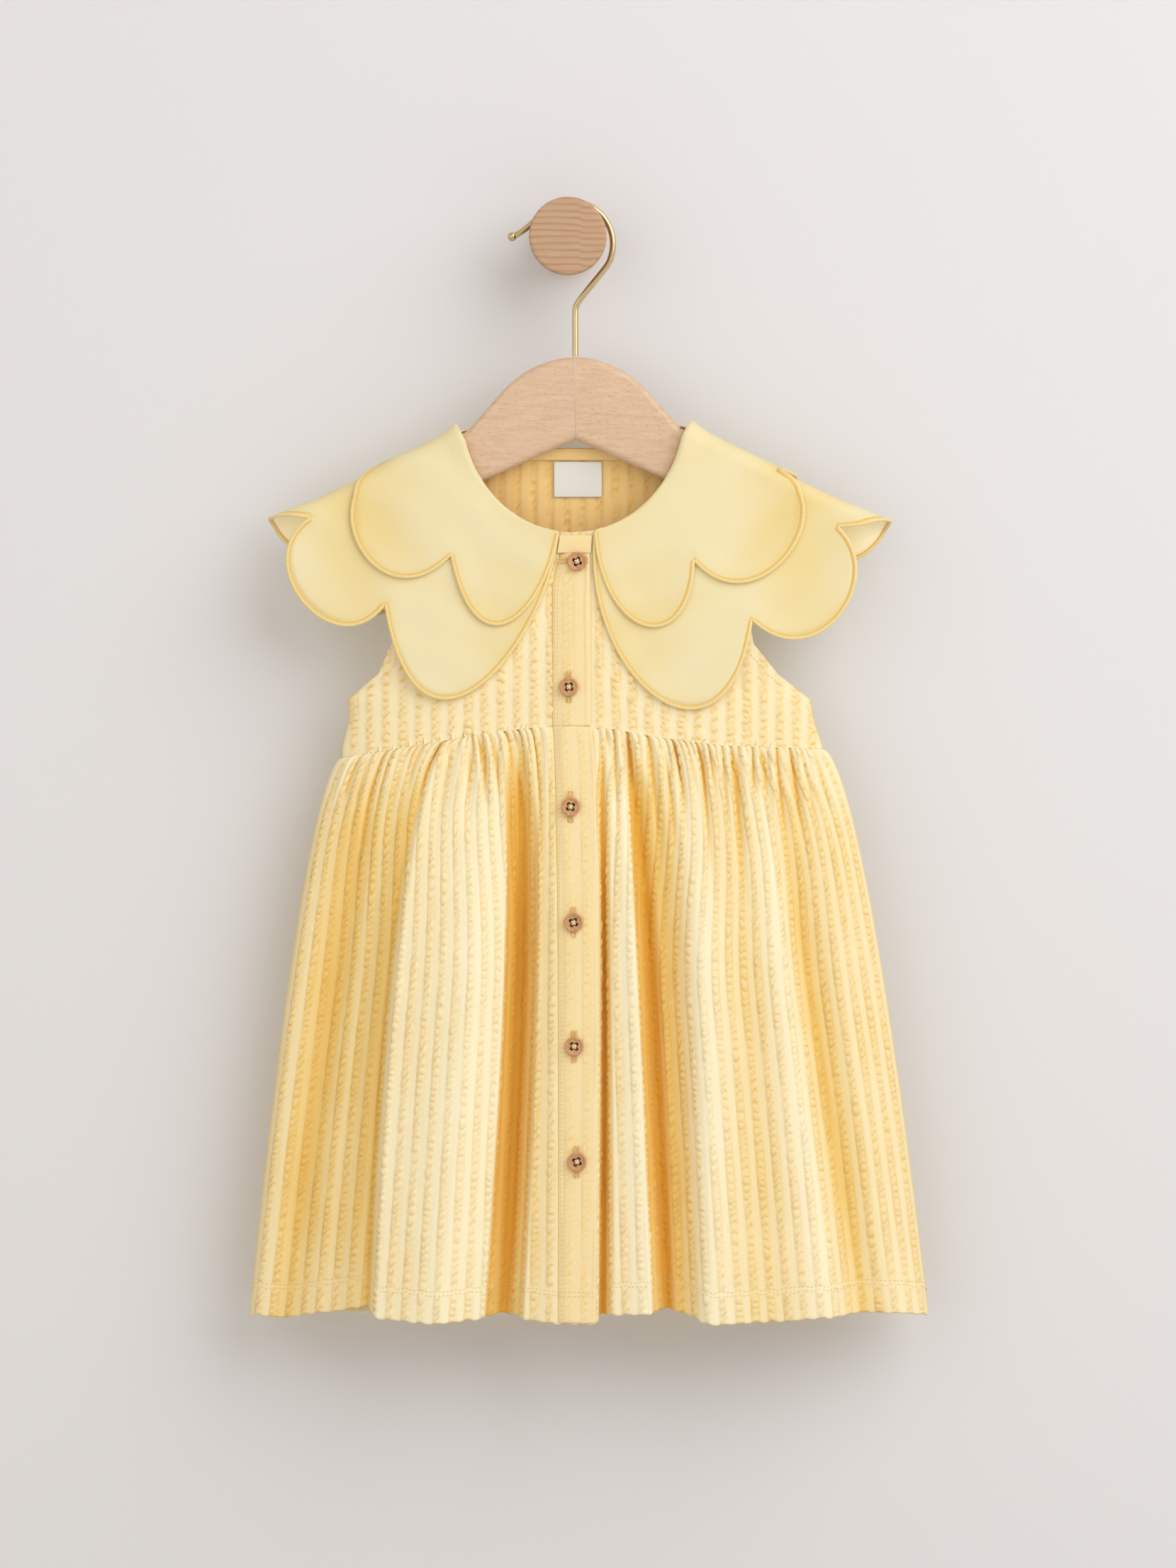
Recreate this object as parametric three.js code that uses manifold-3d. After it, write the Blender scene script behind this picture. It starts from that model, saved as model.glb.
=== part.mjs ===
// A child's sleeveless dress with a two-tier scalloped collar, on a wooden hanger that hangs on a wall peg.
// Millimetres, +Z up, -Y towards the viewer. The origin is the centre of the peg's back face, on the wall.
import * as THREE from 'three';
import { mergeVertices } from 'three/addons/utils/BufferGeometryUtils.js';
import Module from 'manifold-3d';

const wasm = await Module();
wasm.setup();

// Driving sizes
const CLOTH = 1.0;            // wall of bodice and collar
const SKIRT_CLOTH = 1.4;      // wall of the gathered skirt
const GAP = 0.3;              // clearance between pieces
const SLACK = 0.1;            // further room where one layer of cloth lies on another
const LAP = CLOTH + GAP + SLACK; // how far the face of an upper layer stands from the one below
const HANG_Y = -38;           // plane of hanger and side seams
const PEG = { disc: 22.5, discFront: -54, discBack: -43.5, shank: 18.4, edge: 1.2 };
const WIRE = {
  radius: 1.8, tip: [-32.4, 0.4], tipRadius: 2.7, stemX: 4.3, stemTop: -46, arcRadius: 24.6, arcX: 1.6,
};
const HANGER = {
  half: 5.5, reach: 126, middle: 4.3, top: -69.3, underside: -117.5, underSlope: 0.45,
  tipFrom: 110, tipClose: 0.9,
};
const FOLD_STEP = Math.PI / 4; // the shoulder fold turns in steps of this angle
const SHOULDER = {
  apexX: 5.6,
  apexZ: -87.2,
  slope: THREE.MathUtils.degToRad(26),
  lift: (HANGER.half + GAP) / Math.cos(FOLD_STEP / 2),
};
const NECK = { x: 3, z: -100, halfWidth: 64.5, drop: 71.5, backDrop: -121.8 };
const SPLAY = 0.05;           // how much the cloth swings out for each millimetre of fall
const LENS_POWER = 4;
const BUTTON = { radius: 5.7, thick: 2.6, rim: 1.1, well: 0.6 };

// Cloth colours
const PALETTE = {
  seersucker: { color: 0xf2d28a, roughness: 0.9 },
  collar: { color: 0xf7ecb4, roughness: 0.85 },
  label: { color: 0xf3f3ec, roughness: 0.8 },
  beech: { color: 0xe1bea0, roughness: 0.6 },
  button: { color: 0xb4825f, roughness: 0.55 },
  brass: { color: 0xd9c79a, roughness: 0.3, metalness: 1 },
};

// Side and waist of the bodice: height, left edge, right edge
const SIDE_ROWS = [
  { z: -124, left: -92.7, right: 103.9 },
  { z: -190, left: -93, right: 101 },
  { z: -236, left: -102, right: 107.5 },
  { z: -254, left: -110, right: 122 },
  { z: -268, left: -128, right: 141 },
  { z: -281, left: -127.5, right: 143.5 },
  { z: -297, left: -131.6, right: 148.4 },
];

// Waist seam: place across and height
const WAIST_ROWS = [
  { x: -131.6, z: -302.2 },
  { x: -95.5, z: -296.4 },
  { x: -43.5, z: -287.8 },
  { x: -20, z: -285 },
  { x: 4.7, z: -284 },
  { x: 28, z: -286.2 },
  { x: 52, z: -290.6 },
  { x: 91, z: -295.6 },
  { x: 148.4, z: -297 },
];

// Front skirt folds: across at the seam, a quarter down and at the hem, how far proud, and hem height
const FRONT_FOLDS = [
  { seam: -131.6, quarter: -155.0, hem: -184.9, proud: 0, hemZ: -624.4 },
  { seam: -106.2, quarter: -126.7, hem: -164.4, proud: -13, hemZ: -625.7 },
  { seam: -88.6, quarter: -111.9, hem: -141.9, proud: -7, hemZ: -622.4 },
  { seam: -74.5, quarter: -98.5, hem: -116.5, proud: -1, hemZ: -618.7 },
  { seam: -66.5, quarter: -91.5, hem: -109.5, proud: 8, hemZ: -625.3 },
  { seam: -54.5, quarter: -54.0, hem: -76.3, proud: 12, hemZ: -627.7 },
  { seam: -43.0, quarter: -36.5, hem: -48.0, proud: 3, hemZ: -624.8 },
  { seam: -33.0, quarter: -26.0, hem: -34.5, proud: -11, hemZ: -622.4 },
  { seam: -22.5, quarter: -16.0, hem: -25.0, proud: 5, hemZ: -625.7 },
  { seam: -9.0, quarter: -6.2, hem: -5.7, proud: 8, hemZ: -627.7 },
  { seam: 13.5, quarter: 17.2, hem: 16.0, proud: 8, hemZ: -628.1 },
  { seam: 18.8, quarter: 22.0, hem: 22.0, proud: -3, hemZ: -622.8 },
  { seam: 25.0, quarter: 28.0, hem: 33.0, proud: 7, hemZ: -622.8 },
  { seam: 31.0, quarter: 34.5, hem: 46.0, proud: 9, hemZ: -622.4 },
  { seam: 36.5, quarter: 42.0, hem: 55.0, proud: -10, hemZ: -619.5 },
  { seam: 63.1, quarter: 75.4, hem: 83.6, proud: 9, hemZ: -628.5 },
  { seam: 93.9, quarter: 100.0, hem: 118.5, proud: 5, hemZ: -626.9 },
  { seam: 110.3, quarter: 118.5, hem: 149.2, proud: 8, hemZ: -624.8 },
  { seam: 123.6, quarter: 132.6, hem: 172.6, proud: -4, hemZ: -622.0 },
  { seam: 135.7, quarter: 152.1, hem: 191.5, proud: 3, hemZ: -622.8 },
  { seam: 148.4, quarter: 175.0, hem: 209.5, proud: 0, hemZ: -624.4 },
];
const PLACKET_FOLDS = { left: 9, right: 10 };

// Back skirt folds, the same columns
const BACK_FOLDS = [
  { seam: -131.6, quarter: -155.0, hem: -184.9, proud: 0, hemZ: -624.4 },
  { seam: -107.0, quarter: -124.0, hem: -150.0, proud: -3, hemZ: -622.5 },
  { seam: -84.0, quarter: -95.0, hem: -112.0, proud: 6, hemZ: -625.5 },
  { seam: -62.0, quarter: -70.0, hem: -84.0, proud: -6, hemZ: -621.0 },
  { seam: -38.0, quarter: -40.0, hem: -46.0, proud: 7, hemZ: -626.5 },
  { seam: -12.0, quarter: -13.0, hem: -16.0, proud: -7, hemZ: -621.5 },
  { seam: 16.0, quarter: 19.0, hem: 21.0, proud: 8, hemZ: -626.5 },
  { seam: 44.0, quarter: 50.0, hem: 60.0, proud: -5, hemZ: -622.0 },
  { seam: 68.0, quarter: 79.0, hem: 93.0, proud: 7, hemZ: -625.5 },
  { seam: 94.0, quarter: 107.0, hem: 128.0, proud: -6, hemZ: -621.5 },
  { seam: 122.0, quarter: 141.0, hem: 168.0, proud: 4, hemZ: -624.5 },
  { seam: 148.4, quarter: 175.0, hem: 209.5, proud: 0, hemZ: -624.4 },
];
// Skirt: depth at the hem, how its folds spread with the fall, and where they stand fully proud
const SKIRT = {
  frontHem: 28, backHem: 20, depthPower: 0.8, quarterAt: 0.446, spread: 0.6, fullAt: 0.45,
  placketEase: 6, sideTurn: 0.93,
};
// Gathers: spacing and height at the seam, the level where they are highest and where they have run out
const GATHER = {
  spacing: 7.8, seamHeight: 1.0, height: 1.7, peakAt: 0.07, fadeAt: 0.36, frontColumns: 3, backColumns: 2,
};
// Slow waves that shift the gathers along the seam: turn, run, start, and how much the face shifts the start
const GATHER_DRIFTS = [
  { turn: 1.1, run: 9.7, start: 0, byFace: 1 },
  { turn: 0.8, run: 23, start: 2, byFace: 0 },
];
const GATHER_STRENGTH = { least: 0.5, run: 13, byFace: 1.3 };
const SKIRT_LEVELS = [0, 0.02, 0.055, 0.11, 0.19, 0.3, 0.44, 0.62, 0.81, 1];

// Scallops, from the front corner round to the centre back. A lobe is a cubic curve to its next notch,
// given across and height as seen from the front; lobes past the shoulder ridge lie on the back.
const COLLARS = {
  upper_left: {
    side: -1, layer: 2, corner: [-5.7, -172.6],
    front: [
      { pull: [-15.1, -223.6], push: [-54.2, -254.1], notch: [-67.6, -184.5] },
      { pull: [-107.7, -227.8], push: [-158.2, -142.4], notch: [-105, -130.0] },
    ],
    back: [
      { pull: [-150, -148], push: [-104, -222], notch: [-67, -183] },
      { pull: [-56, -240], push: [-2, -232], notch: [5.2, -182] },
    ],
  },
  upper_right: {
    side: 1, layer: 2, corner: [15.6, -170.6],
    front: [
      { pull: [19, -234.7], push: [71.3, -247.4], notch: [73, -187.8] },
      { pull: [110.4, -230.9], push: [165.4, -150.1], notch: [113.6, -129.0] },
    ],
    back: [
      { pull: [166, -144], push: [112, -226], notch: [76, -184] },
      { pull: [65, -240], push: [13, -232], notch: [6.0, -182] },
    ],
  },
  lower_left: {
    side: -1, layer: 1, corner: [-5.7, -172.6],
    front: [
      { pull: [-12.4, -238.8], push: [-87.5, -327.1], notch: [-105.8, -213.2] },
      { pull: [-131.2, -255.1], push: [-188.6, -188.2], notch: [-148.8, -162.8] },
      { pull: [-156, -163.5], push: [-166, -164.5], notch: [-173.4, -163.9] },
    ],
    back: [
      { pull: [-171, -170], push: [-162, -184], notch: [-146, -184] },
      { pull: [-146, -214], push: [-114, -232], notch: [-94, -208] },
      { pull: [-76, -290], push: [-8, -284], notch: [5.2, -212] },
    ],
  },
  lower_right: {
    side: 1, layer: 1, corner: [15.6, -170.6],
    front: [
      { pull: [6.5, -258.9], push: [92.4, -323.8], notch: [106.6, -222.2] },
      { pull: [143.6, -258.1], push: [188.2, -197.9], notch: [156.2, -168.1] },
      { pull: [166, -167.5], push: [178, -167], notch: [187.4, -165.2] },
    ],
    back: [
      { pull: [184, -174], push: [174, -189], notch: [157, -188] },
      { pull: [157, -220], push: [126, -242], notch: [104, -212] },
      { pull: [86, -290], push: [19, -284], notch: [6.0, -212] },
    ],
  },
};
const LOBE_COLUMNS = 9;
const TIER_ROWS = 4;
const BACK_NECK_FROM = 0.94;  // share of the neck's half width where the collar's back neck edge starts

// Buttons down the placket: across and height
const BUTTONS = [
  { x: 5.3, z: -188.6 },
  { x: 0.6, z: -261.2 },
  { x: 1.6, z: -330.5 },
  { x: 3.3, z: -397.3 },
  { x: 3.7, z: -468.6 },
  { x: 5.3, z: -535.0 },
];

// Small helpers
const lerp = THREE.MathUtils.lerp;
const smooth = (t) => THREE.MathUtils.smoothstep(t, 0, 1);
const range = (n) => Array.from({ length: n }, (_, i) => i);

// Value at q in a table, straight between rows that are sorted by the key column.
function along(rows, key, column, q) {
  const rising = rows[rows.length - 1][key] > rows[0][key];
  const place = (row) => (rising ? row[key] - q : q - row[key]);
  let k = rows.findIndex((row) => place(row) >= 0);
  k = k < 0 ? rows.length - 1 : Math.max(k, 1);
  const t = (q - rows[k - 1][key]) / (rows[k][key] - rows[k - 1][key]);
  return lerp(rows[k - 1][column], rows[k][column], THREE.MathUtils.clamp(t, 0, 1));
}

// Closed wall from an outer grid and an inner grid of the same size.
function wallGeometry(outer, inner) {
  const rows = outer.length;
  const cols = outer[0].length;
  const points = [...outer.flat(), ...inner.flat()];
  const at = (layer, i, j) => layer * rows * cols + i * cols + j;
  const index = [];
  const quad = (a, b, c, d) => index.push(a, b, c, a, c, d);
  for (let i = 0; i < rows - 1; i += 1) {
    for (let j = 0; j < cols - 1; j += 1) {
      quad(at(0, i, j), at(0, i + 1, j), at(0, i + 1, j + 1), at(0, i, j + 1));
      quad(at(1, i, j), at(1, i, j + 1), at(1, i + 1, j + 1), at(1, i + 1, j));
    }
  }
  for (let j = 0; j < cols - 1; j += 1) {
    quad(at(0, 0, j), at(0, 0, j + 1), at(1, 0, j + 1), at(1, 0, j));
    quad(at(0, rows - 1, j + 1), at(0, rows - 1, j), at(1, rows - 1, j), at(1, rows - 1, j + 1));
  }
  for (let i = 0; i < rows - 1; i += 1) {
    quad(at(0, i + 1, 0), at(0, i, 0), at(1, i, 0), at(1, i + 1, 0));
    quad(at(0, i, cols - 1), at(0, i + 1, cols - 1), at(1, i + 1, cols - 1), at(1, i, cols - 1));
  }
  return closedGeometry(points, index);
}

// Indexed geometry whose faces point out: a solid with negative volume is turned round.
function closedGeometry(points, index) {
  let volume = 0;
  for (let i = 0; i < index.length; i += 3) {
    const [a, b, c] = [points[index[i]], points[index[i + 1]], points[index[i + 2]]];
    volume += a.dot(b.clone().cross(c));
  }
  const faces = volume > 0 ? index : index.slice().reverse();
  const geometry = new THREE.BufferGeometry();
  geometry.setAttribute('position', new THREE.Float32BufferAttribute(points.flatMap((p) => p.toArray()), 3));
  geometry.setIndex(faces);
  geometry.computeVertexNormals();
  return geometry;
}

// Unit normals of a grid of points, pointing to the side that facing gives.
function gridNormals(grid, facing) {
  const last = (list) => list.length - 1;
  return grid.map((row, i) => row.map((point, j) => {
    const down = grid[Math.min(i + 1, last(grid))][j].clone().sub(grid[Math.max(i - 1, 0)][j]);
    const across = row[Math.min(j + 1, last(row))].clone().sub(row[Math.max(j - 1, 0)]);
    const normal = down.cross(across).normalize();
    return normal.dot(facing(point)) < 0 ? normal.negate() : normal;
  }));
}

// Grid moved along its normals.
function moved(grid, normals, distance) {
  return grid.map((row, i) => row.map((point, j) => point.clone().addScaledVector(normals[i][j], distance)));
}

const outwards = (face) => () => new THREE.Vector3(0, face, 0);
const FRONT = -1;
const BACK = 1;

// How far cloth stands from the hanging plane over the shoulder: a round fold, then a fall that splays.
function shoulderDepth(x, z, lift) {
  const below = (SHOULDER.apexZ - z) * Math.cos(SHOULDER.slope)
    - Math.abs(x - SHOULDER.apexX) * Math.sin(SHOULDER.slope);
  return below < 0 ? Math.sqrt(Math.max(lift * lift - below * below, 0)) : lift + SPLAY * below;
}

// The ridge of a shoulder fold of the given lift, at a place across.
function ridgeZ(x, lift) {
  const fall = Math.abs(x - SHOULDER.apexX) * Math.tan(SHOULDER.slope);
  return SHOULDER.apexZ - fall + lift / Math.cos(SHOULDER.slope);
}

// Pattern places over the shoulder: distance along the ridge, and distance round the fold from the ridge.
const QUARTER = SHOULDER.lift * Math.PI / 2;
const SLOPE = { cos: Math.cos(SHOULDER.slope), sin: Math.sin(SHOULDER.slope) };
const FOLD_TURNS = [0, 0.5, 1];

function patternPlace(side, [x, z], face) {
  const east = side * (x - SHOULDER.apexX);
  const north = z - SHOULDER.apexZ;
  const alongRidge = east * SLOPE.cos - north * SLOPE.sin;
  const rise = east * SLOPE.sin + north * SLOPE.cos;
  const fold = rise < 0 ? QUARTER - rise : SHOULDER.lift * Math.acos(Math.min(rise / SHOULDER.lift, 1));
  return new THREE.Vector2(alongRidge, face === FRONT ? fold : -fold);
}

function overShoulder(side, place, lift) {
  const face = place.y >= 0 ? FRONT : BACK;
  const round = Math.min(Math.abs(place.y) / SHOULDER.lift, Math.PI / 2);
  const drop = Math.max(Math.abs(place.y) - QUARTER, 0);
  const rise = lift * Math.cos(round) - drop;
  const depth = lift * Math.sin(round) + SPLAY * drop;
  return new THREE.Vector3(
    SHOULDER.apexX + side * (place.x * SLOPE.cos + rise * SLOPE.sin),
    HANG_Y + face * depth,
    SHOULDER.apexZ - place.x * SLOPE.sin + rise * SLOPE.cos,
  );
}

// Bodice: the lens closes to the side seams below the armholes.
const BODICE_LIFT = SHOULDER.lift + CLOTH;
const LENS_FROM = { start: -205, full: -262 };

function bodiceDepth(x, z) {
  const left = along(SIDE_ROWS, 'z', 'left', Math.min(z, LENS_FROM.full));
  const right = along(SIDE_ROWS, 'z', 'right', Math.min(z, LENS_FROM.full));
  const u = Math.min(Math.abs((2 * x - left - right) / (right - left)), 1);
  const lens = Math.sqrt(1 - u ** LENS_POWER);
  const closing = smooth((LENS_FROM.start - z) / (LENS_FROM.start - LENS_FROM.full));
  return shoulderDepth(x, z, BODICE_LIFT) * lerp(1, lens, closing) + GAP / 2;
}

const onBodice = (face, x, z) => new THREE.Vector3(x, HANG_Y + face * bodiceDepth(x, z), z);

// Wall of a bodice panel: at a side seam the cloth turns square to the hanging plane.
function bodiceWall(outer, face) {
  const normals = gridNormals(outer, outwards(face));
  const sides = [WAIST_ENDS.left, WAIST_ENDS.right];
  outer.forEach((row, i) => row.forEach((point, j) => {
    if (Math.abs(point.y - HANG_Y) < GAP) {
      normals[i][j].set(Math.abs(point.x - sides[0]) < Math.abs(point.x - sides[1]) ? -1 : 1, 0, 0);
    }
  }));
  return { outer, inner: moved(outer, normals, -CLOTH) };
}

const CENTRE_FRONT = -4.6;
const SEAM_GAP = 0.6;
const SHOULDER_POINTS = { left: SIDE_ROWS[0].left, right: SIDE_ROWS[0].right };
const WAIST_ENDS = { left: WAIST_ROWS[0].x, right: WAIST_ROWS[WAIST_ROWS.length - 1].x };
const FALL_SHARES = [0.06, 0.18, 0.32, 0.44, 0.55, 0.66, 0.75, 0.83, 0.9, 0.95, 1];
const NECK_SHARE = 0.44;

// Front neckline point at an angle from the side of the neck (0) to its lowest point (a quarter turn).
const neckPoint = (side, angle) => ({
  x: NECK.x + side * NECK.halfWidth * Math.cos(angle),
  z: NECK.z - NECK.drop * Math.sin(angle),
});

// Angle at which the front neckline leaves the flat of the shoulder.
function neckStart(side) {
  let angle = 0.25;
  for (let k = 0; k < 6; k += 1) {
    angle = Math.asin((NECK.z - ridgeZ(neckPoint(side, angle).x, 0)) / NECK.drop);
  }
  return angle;
}

// A front runs in rows from the armhole and side seam to the neckline and the centre front.
function bodiceFront(side, centre, columns) {
  const flank = side < 0 ? 'left' : 'right';
  const start = neckStart(side);
  const lowest = Math.PI / 2 - Math.asin(side * (centre - NECK.x) / NECK.halfWidth);
  const neckTop = neckPoint(side, start);
  const shoulderX = SHOULDER_POINTS[flank];
  const shoulderTop = { x: shoulderX, z: ridgeZ(shoulderX, 0) };
  const ends = { side: WAIST_ENDS[flank], sideZ: along(WAIST_ROWS, 'x', 'z', WAIST_ENDS[flank]) + SEAM_GAP };
  const neckLow = neckPoint(side, lowest);
  const shares = range(columns + 1).map((k) => (k / columns) ** 1.4);
  const foldRows = FOLD_TURNS.map((turn) => {
    const fold = Math.max(turn * QUARTER, GAP);
    const outerEnd = patternPlace(side, [shoulderTop.x, shoulderTop.z], FRONT).x;
    const innerEnd = patternPlace(side, [neckTop.x, neckTop.z], FRONT).x;
    return shares.map((share) => overShoulder(
      side, new THREE.Vector2(lerp(outerEnd, innerEnd, share), fold), BODICE_LIFT));
  });
  const fallRows = FALL_SHARES.map((fall) => {
    const sideZ = lerp(shoulderTop.z, ends.sideZ, fall);
    const sideX = fall === 1 ? ends.side : along(SIDE_ROWS, 'z', flank, sideZ);
    const neck = neckPoint(side, lerp(start, lowest, Math.min(fall / NECK_SHARE, 1)));
    const fallen = Math.max((fall - NECK_SHARE) / (1 - NECK_SHARE), 0);
    const inner = { x: fall < NECK_SHARE ? neck.x : centre, z: neck.z };
    return shares.map((share) => {
      const x = lerp(sideX, inner.x, share);
      const waistZ = along(WAIST_ROWS, 'x', 'z', x) + SEAM_GAP;
      const ruled = lerp(sideZ, lerp(inner.z, along(WAIST_ROWS, 'x', 'z', centre) + SEAM_GAP, fallen), share);
      return onBodice(FRONT, x, fall === 1 ? waistZ : ruled);
    });
  });
  return bodiceWall([...foldRows, ...fallRows], FRONT);
}

// Back neckline: from the shoulder ridge it dips evenly to the centre back.
function backNeckZ(x) {
  const u = Math.min(Math.abs(x - NECK.x) / NECK.halfWidth, 1);
  return lerp(NECK.backDrop, ridgeZ(x, BODICE_LIFT), smooth(u ** 5));
}

// The back runs in columns from the shoulders and neckline to the waist, each a fixed share of the width.
function bodiceBack() {
  const tops = [
    ...[0, 0.08, 0.25, 0.5, 0.8, 1].map((t) => lerp(SHOULDER_POINTS.left, NECK.x - NECK.halfWidth, t)),
    ...[0.97, 0.92, 0.84, 0.7, 0.5, 0.25].map((u) => NECK.x - NECK.halfWidth * u),
    NECK.x,
    ...[0.25, 0.5, 0.7, 0.84, 0.92, 0.97].map((u) => NECK.x + NECK.halfWidth * u),
    ...[0, 0.2, 0.5, 0.75, 0.92, 1].map((t) => lerp(NECK.x + NECK.halfWidth, SHOULDER_POINTS.right, t)),
  ];
  const width = SHOULDER_POINTS.right - SHOULDER_POINTS.left;
  const columns = tops.map((top) => {
    const share = (top - SHOULDER_POINTS.left) / width;
    const onNeck = Math.abs(top - NECK.x) < NECK.halfWidth - 1e-6;
    const foldZ = FOLD_TURNS.map((turn) => {
      const rise = BODICE_LIFT * Math.cos(Math.max(turn * Math.PI / 2, GAP / SHOULDER.lift));
      return onNeck ? backNeckZ(top) - (BODICE_LIFT - rise) / SLOPE.cos : ridgeZ(top, rise);
    });
    const waistX = lerp(WAIST_ENDS.left, WAIST_ENDS.right, share);
    const waistZ = along(WAIST_ROWS, 'x', 'z', waistX) + SEAM_GAP;
    const foldPoints = foldZ.map((z) => onBodice(BACK, top, z));
    const fallPoints = FALL_SHARES.map((fall) => {
      const z = lerp(foldZ[foldZ.length - 1], waistZ, fall);
      const x = lerp(along(SIDE_ROWS, 'z', 'left', z), along(SIDE_ROWS, 'z', 'right', z), share);
      return onBodice(BACK, fall === 1 ? waistX : x, z);
    });
    return [...foldPoints, ...fallPoints];
  });
  return bodiceWall(columns[0].map((_, i) => columns.map((column) => column[i])), BACK);
}

const bodiceFrontLeft = bodiceFront(-1, CENTRE_FRONT - GAP, 10);
const bodiceFrontRight = bodiceFront(1, CENTRE_FRONT, 11);

// A strip that lies on the bodice, between two edges that change with height.
function bodiceStrip(face, rows, columns, stand) {
  const outer = rows.map(({ z, from, to }) => range(columns + 1).map((k) => {
    const x = lerp(from, to, k / columns);
    const drop = typeof z === 'function' ? z(x) : z;
    return new THREE.Vector3(x, HANG_Y + face * (bodiceDepth(x, drop) + stand), drop);
  }));
  const inwards = new THREE.Vector3(0, -face * CLOTH, 0);
  return { outer, inner: outer.map((row) => row.map((point) => point.clone().add(inwards))) };
}

const PLACKET_SEAM = {
  left: FRONT_FOLDS[PLACKET_FOLDS.left].seam,
  right: FRONT_FOLDS[PLACKET_FOLDS.right].seam,
};
const placketBodice = bodiceStrip(FRONT, [
  { z: -183.2, from: -3.6, to: 12.6 },
  { z: -192, from: -6.6, to: 12.8 },
  { z: -202, from: PLACKET_SEAM.left, to: 13 },
  { z: -228, from: PLACKET_SEAM.left, to: 13.2 },
  { z: -256, from: PLACKET_SEAM.left, to: 13.4 },
  { z: -282.8, from: PLACKET_SEAM.left, to: PLACKET_SEAM.right },
], 6, LAP);
const neckBand = bodiceStrip(FRONT, [
  { z: -173.2, from: -4.4, to: 14.2 },
  { z: -182.6, from: -4.0, to: 13.6 },
], 6, LAP);
const labelPiece = bodiceStrip(BACK, [
  { z: -130, from: -8.2, to: 19.7 },
  { z: -150.6, from: -8.2, to: 19.7 },
], 4, -LAP);
const neckTape = bodiceStrip(BACK, [
  { z: (x) => backNeckZ(x) - 0.4, from: -26, to: 36 },
  { z: (x) => backNeckZ(x) - 7.4, from: -26, to: 36 },
], 16, -LAP);

// Neck edge of a collar half as pattern places, from the front corner over the ridge to the centre back.
function collarNeck(side, corner) {
  const steps = 24;
  const start = neckStart(side);
  const lowest = Math.PI / 2 - Math.asin(side * (corner[0] - NECK.x) / NECK.halfWidth);
  const front = range(steps + 1).map((k) => {
    const { x, z } = neckPoint(side, lerp(lowest, start, k / steps));
    return patternPlace(side, [x, z], FRONT);
  });
  const ridge = front[steps].x;
  const back = range(steps + 1).map((k) => {
    const x = lerp(NECK.x + side * NECK.halfWidth * BACK_NECK_FROM, SHOULDER.apexX + side * GAP, k / steps);
    return patternPlace(side, [x, Math.min(backNeckZ(x), ridgeZ(x, 0) - 0.5)], BACK);
  });
  return [...front, ...[0.5, 0, -0.5].map((turn) => new THREE.Vector2(ridge, turn * QUARTER)), ...back];
}

// Scalloped edge of a tier as pattern places.
function scallopEdge({ side, corner, front, back }) {
  const places = [patternPlace(side, corner, FRONT)];
  for (const [face, lobes] of [[FRONT, front], [BACK, back]]) {
    for (const lobe of lobes) {
      const curve = new THREE.CubicBezierCurve(
        places[places.length - 1],
        patternPlace(side, lobe.pull, face),
        patternPlace(side, lobe.push, face),
        patternPlace(side, lobe.notch, face),
      );
      places.push(...curve.getPoints(LOBE_COLUMNS).slice(1));
    }
  }
  return places;
}

// A pattern line cut at the fold's turns: its front part, the turns over the ridge, and its back part.
function cutAtFold(places) {
  const turns = [1, 0.5, 0, -0.5, -1].map((turn) => {
    const fold = turn * QUARTER;
    const k = places.findIndex((place, i) => i > 0 && places[i - 1].y >= fold && place.y <= fold);
    const t = (places[k - 1].y - fold) / Math.max(places[k - 1].y - places[k].y, 1e-9);
    return new THREE.Vector2(lerp(places[k - 1].x, places[k].x, t), fold);
  });
  const margin = QUARTER * 1.06;
  return {
    front: places.filter((place) => place.y > margin),
    turns,
    back: places.filter((place) => place.y < -margin),
  };
}

// Evenly spaced places along a pattern line.
function spaced(places, count) {
  const line = new THREE.CurvePath();
  places.slice(1).forEach((place, k) => line.add(new THREE.LineCurve(places[k], place)));
  return range(count).map((k) => line.getPointAt(k / Math.max(count - 1, 1)));
}

function collarTier(tier) {
  const lift = BODICE_LIFT + tier.layer * (CLOTH + GAP) + SLACK;
  const edge = cutAtFold(scallopEdge(tier));
  const neck = cutAtFold(collarNeck(tier.side, tier.corner));
  const roots = [
    ...spaced(neck.front, edge.front.length),
    ...neck.turns,
    ...spaced(neck.back, edge.back.length),
  ];
  const rims = [...edge.front, ...edge.turns, ...edge.back];
  const cornerWidth = 0.3;
  rims[0] = rims[0].clone().lerp(rims[1], cornerWidth);
  const grid = (radius) => rims.map((rim, k) => range(TIER_ROWS + 1).map((r) => overShoulder(
    tier.side, roots[k].clone().lerp(rim, r / TIER_ROWS), radius)));
  return { outer: grid(lift), inner: grid(lift - CLOTH) };
}

// Skirt: columns are even along the waist seam and follow the folds down to the hem.
function foldLine(rows, seamX, w) {
  let k = rows.findIndex((row) => row.seam >= seamX);
  k = Math.max(k < 0 ? rows.length - 1 : k, 1);
  const t = THREE.MathUtils.clamp((seamX - rows[k - 1].seam) / (rows[k].seam - rows[k - 1].seam), 0, 1);
  const q = SKIRT.quarterAt;
  const across = (row) => row.seam * ((w - q) * (w - 1)) / q
    + row.quarter * (w * (w - 1)) / (q * (q - 1))
    + row.hem * (w * (w - q)) / (1 - q);
  return {
    x: lerp(across(rows[k - 1]), across(rows[k]), t),
    proud: lerp(rows[k - 1].proud, rows[k].proud, smooth(t)),
    hemZ: lerp(rows[k - 1].hemZ, rows[k].hemZ, smooth(t)),
  };
}

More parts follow.
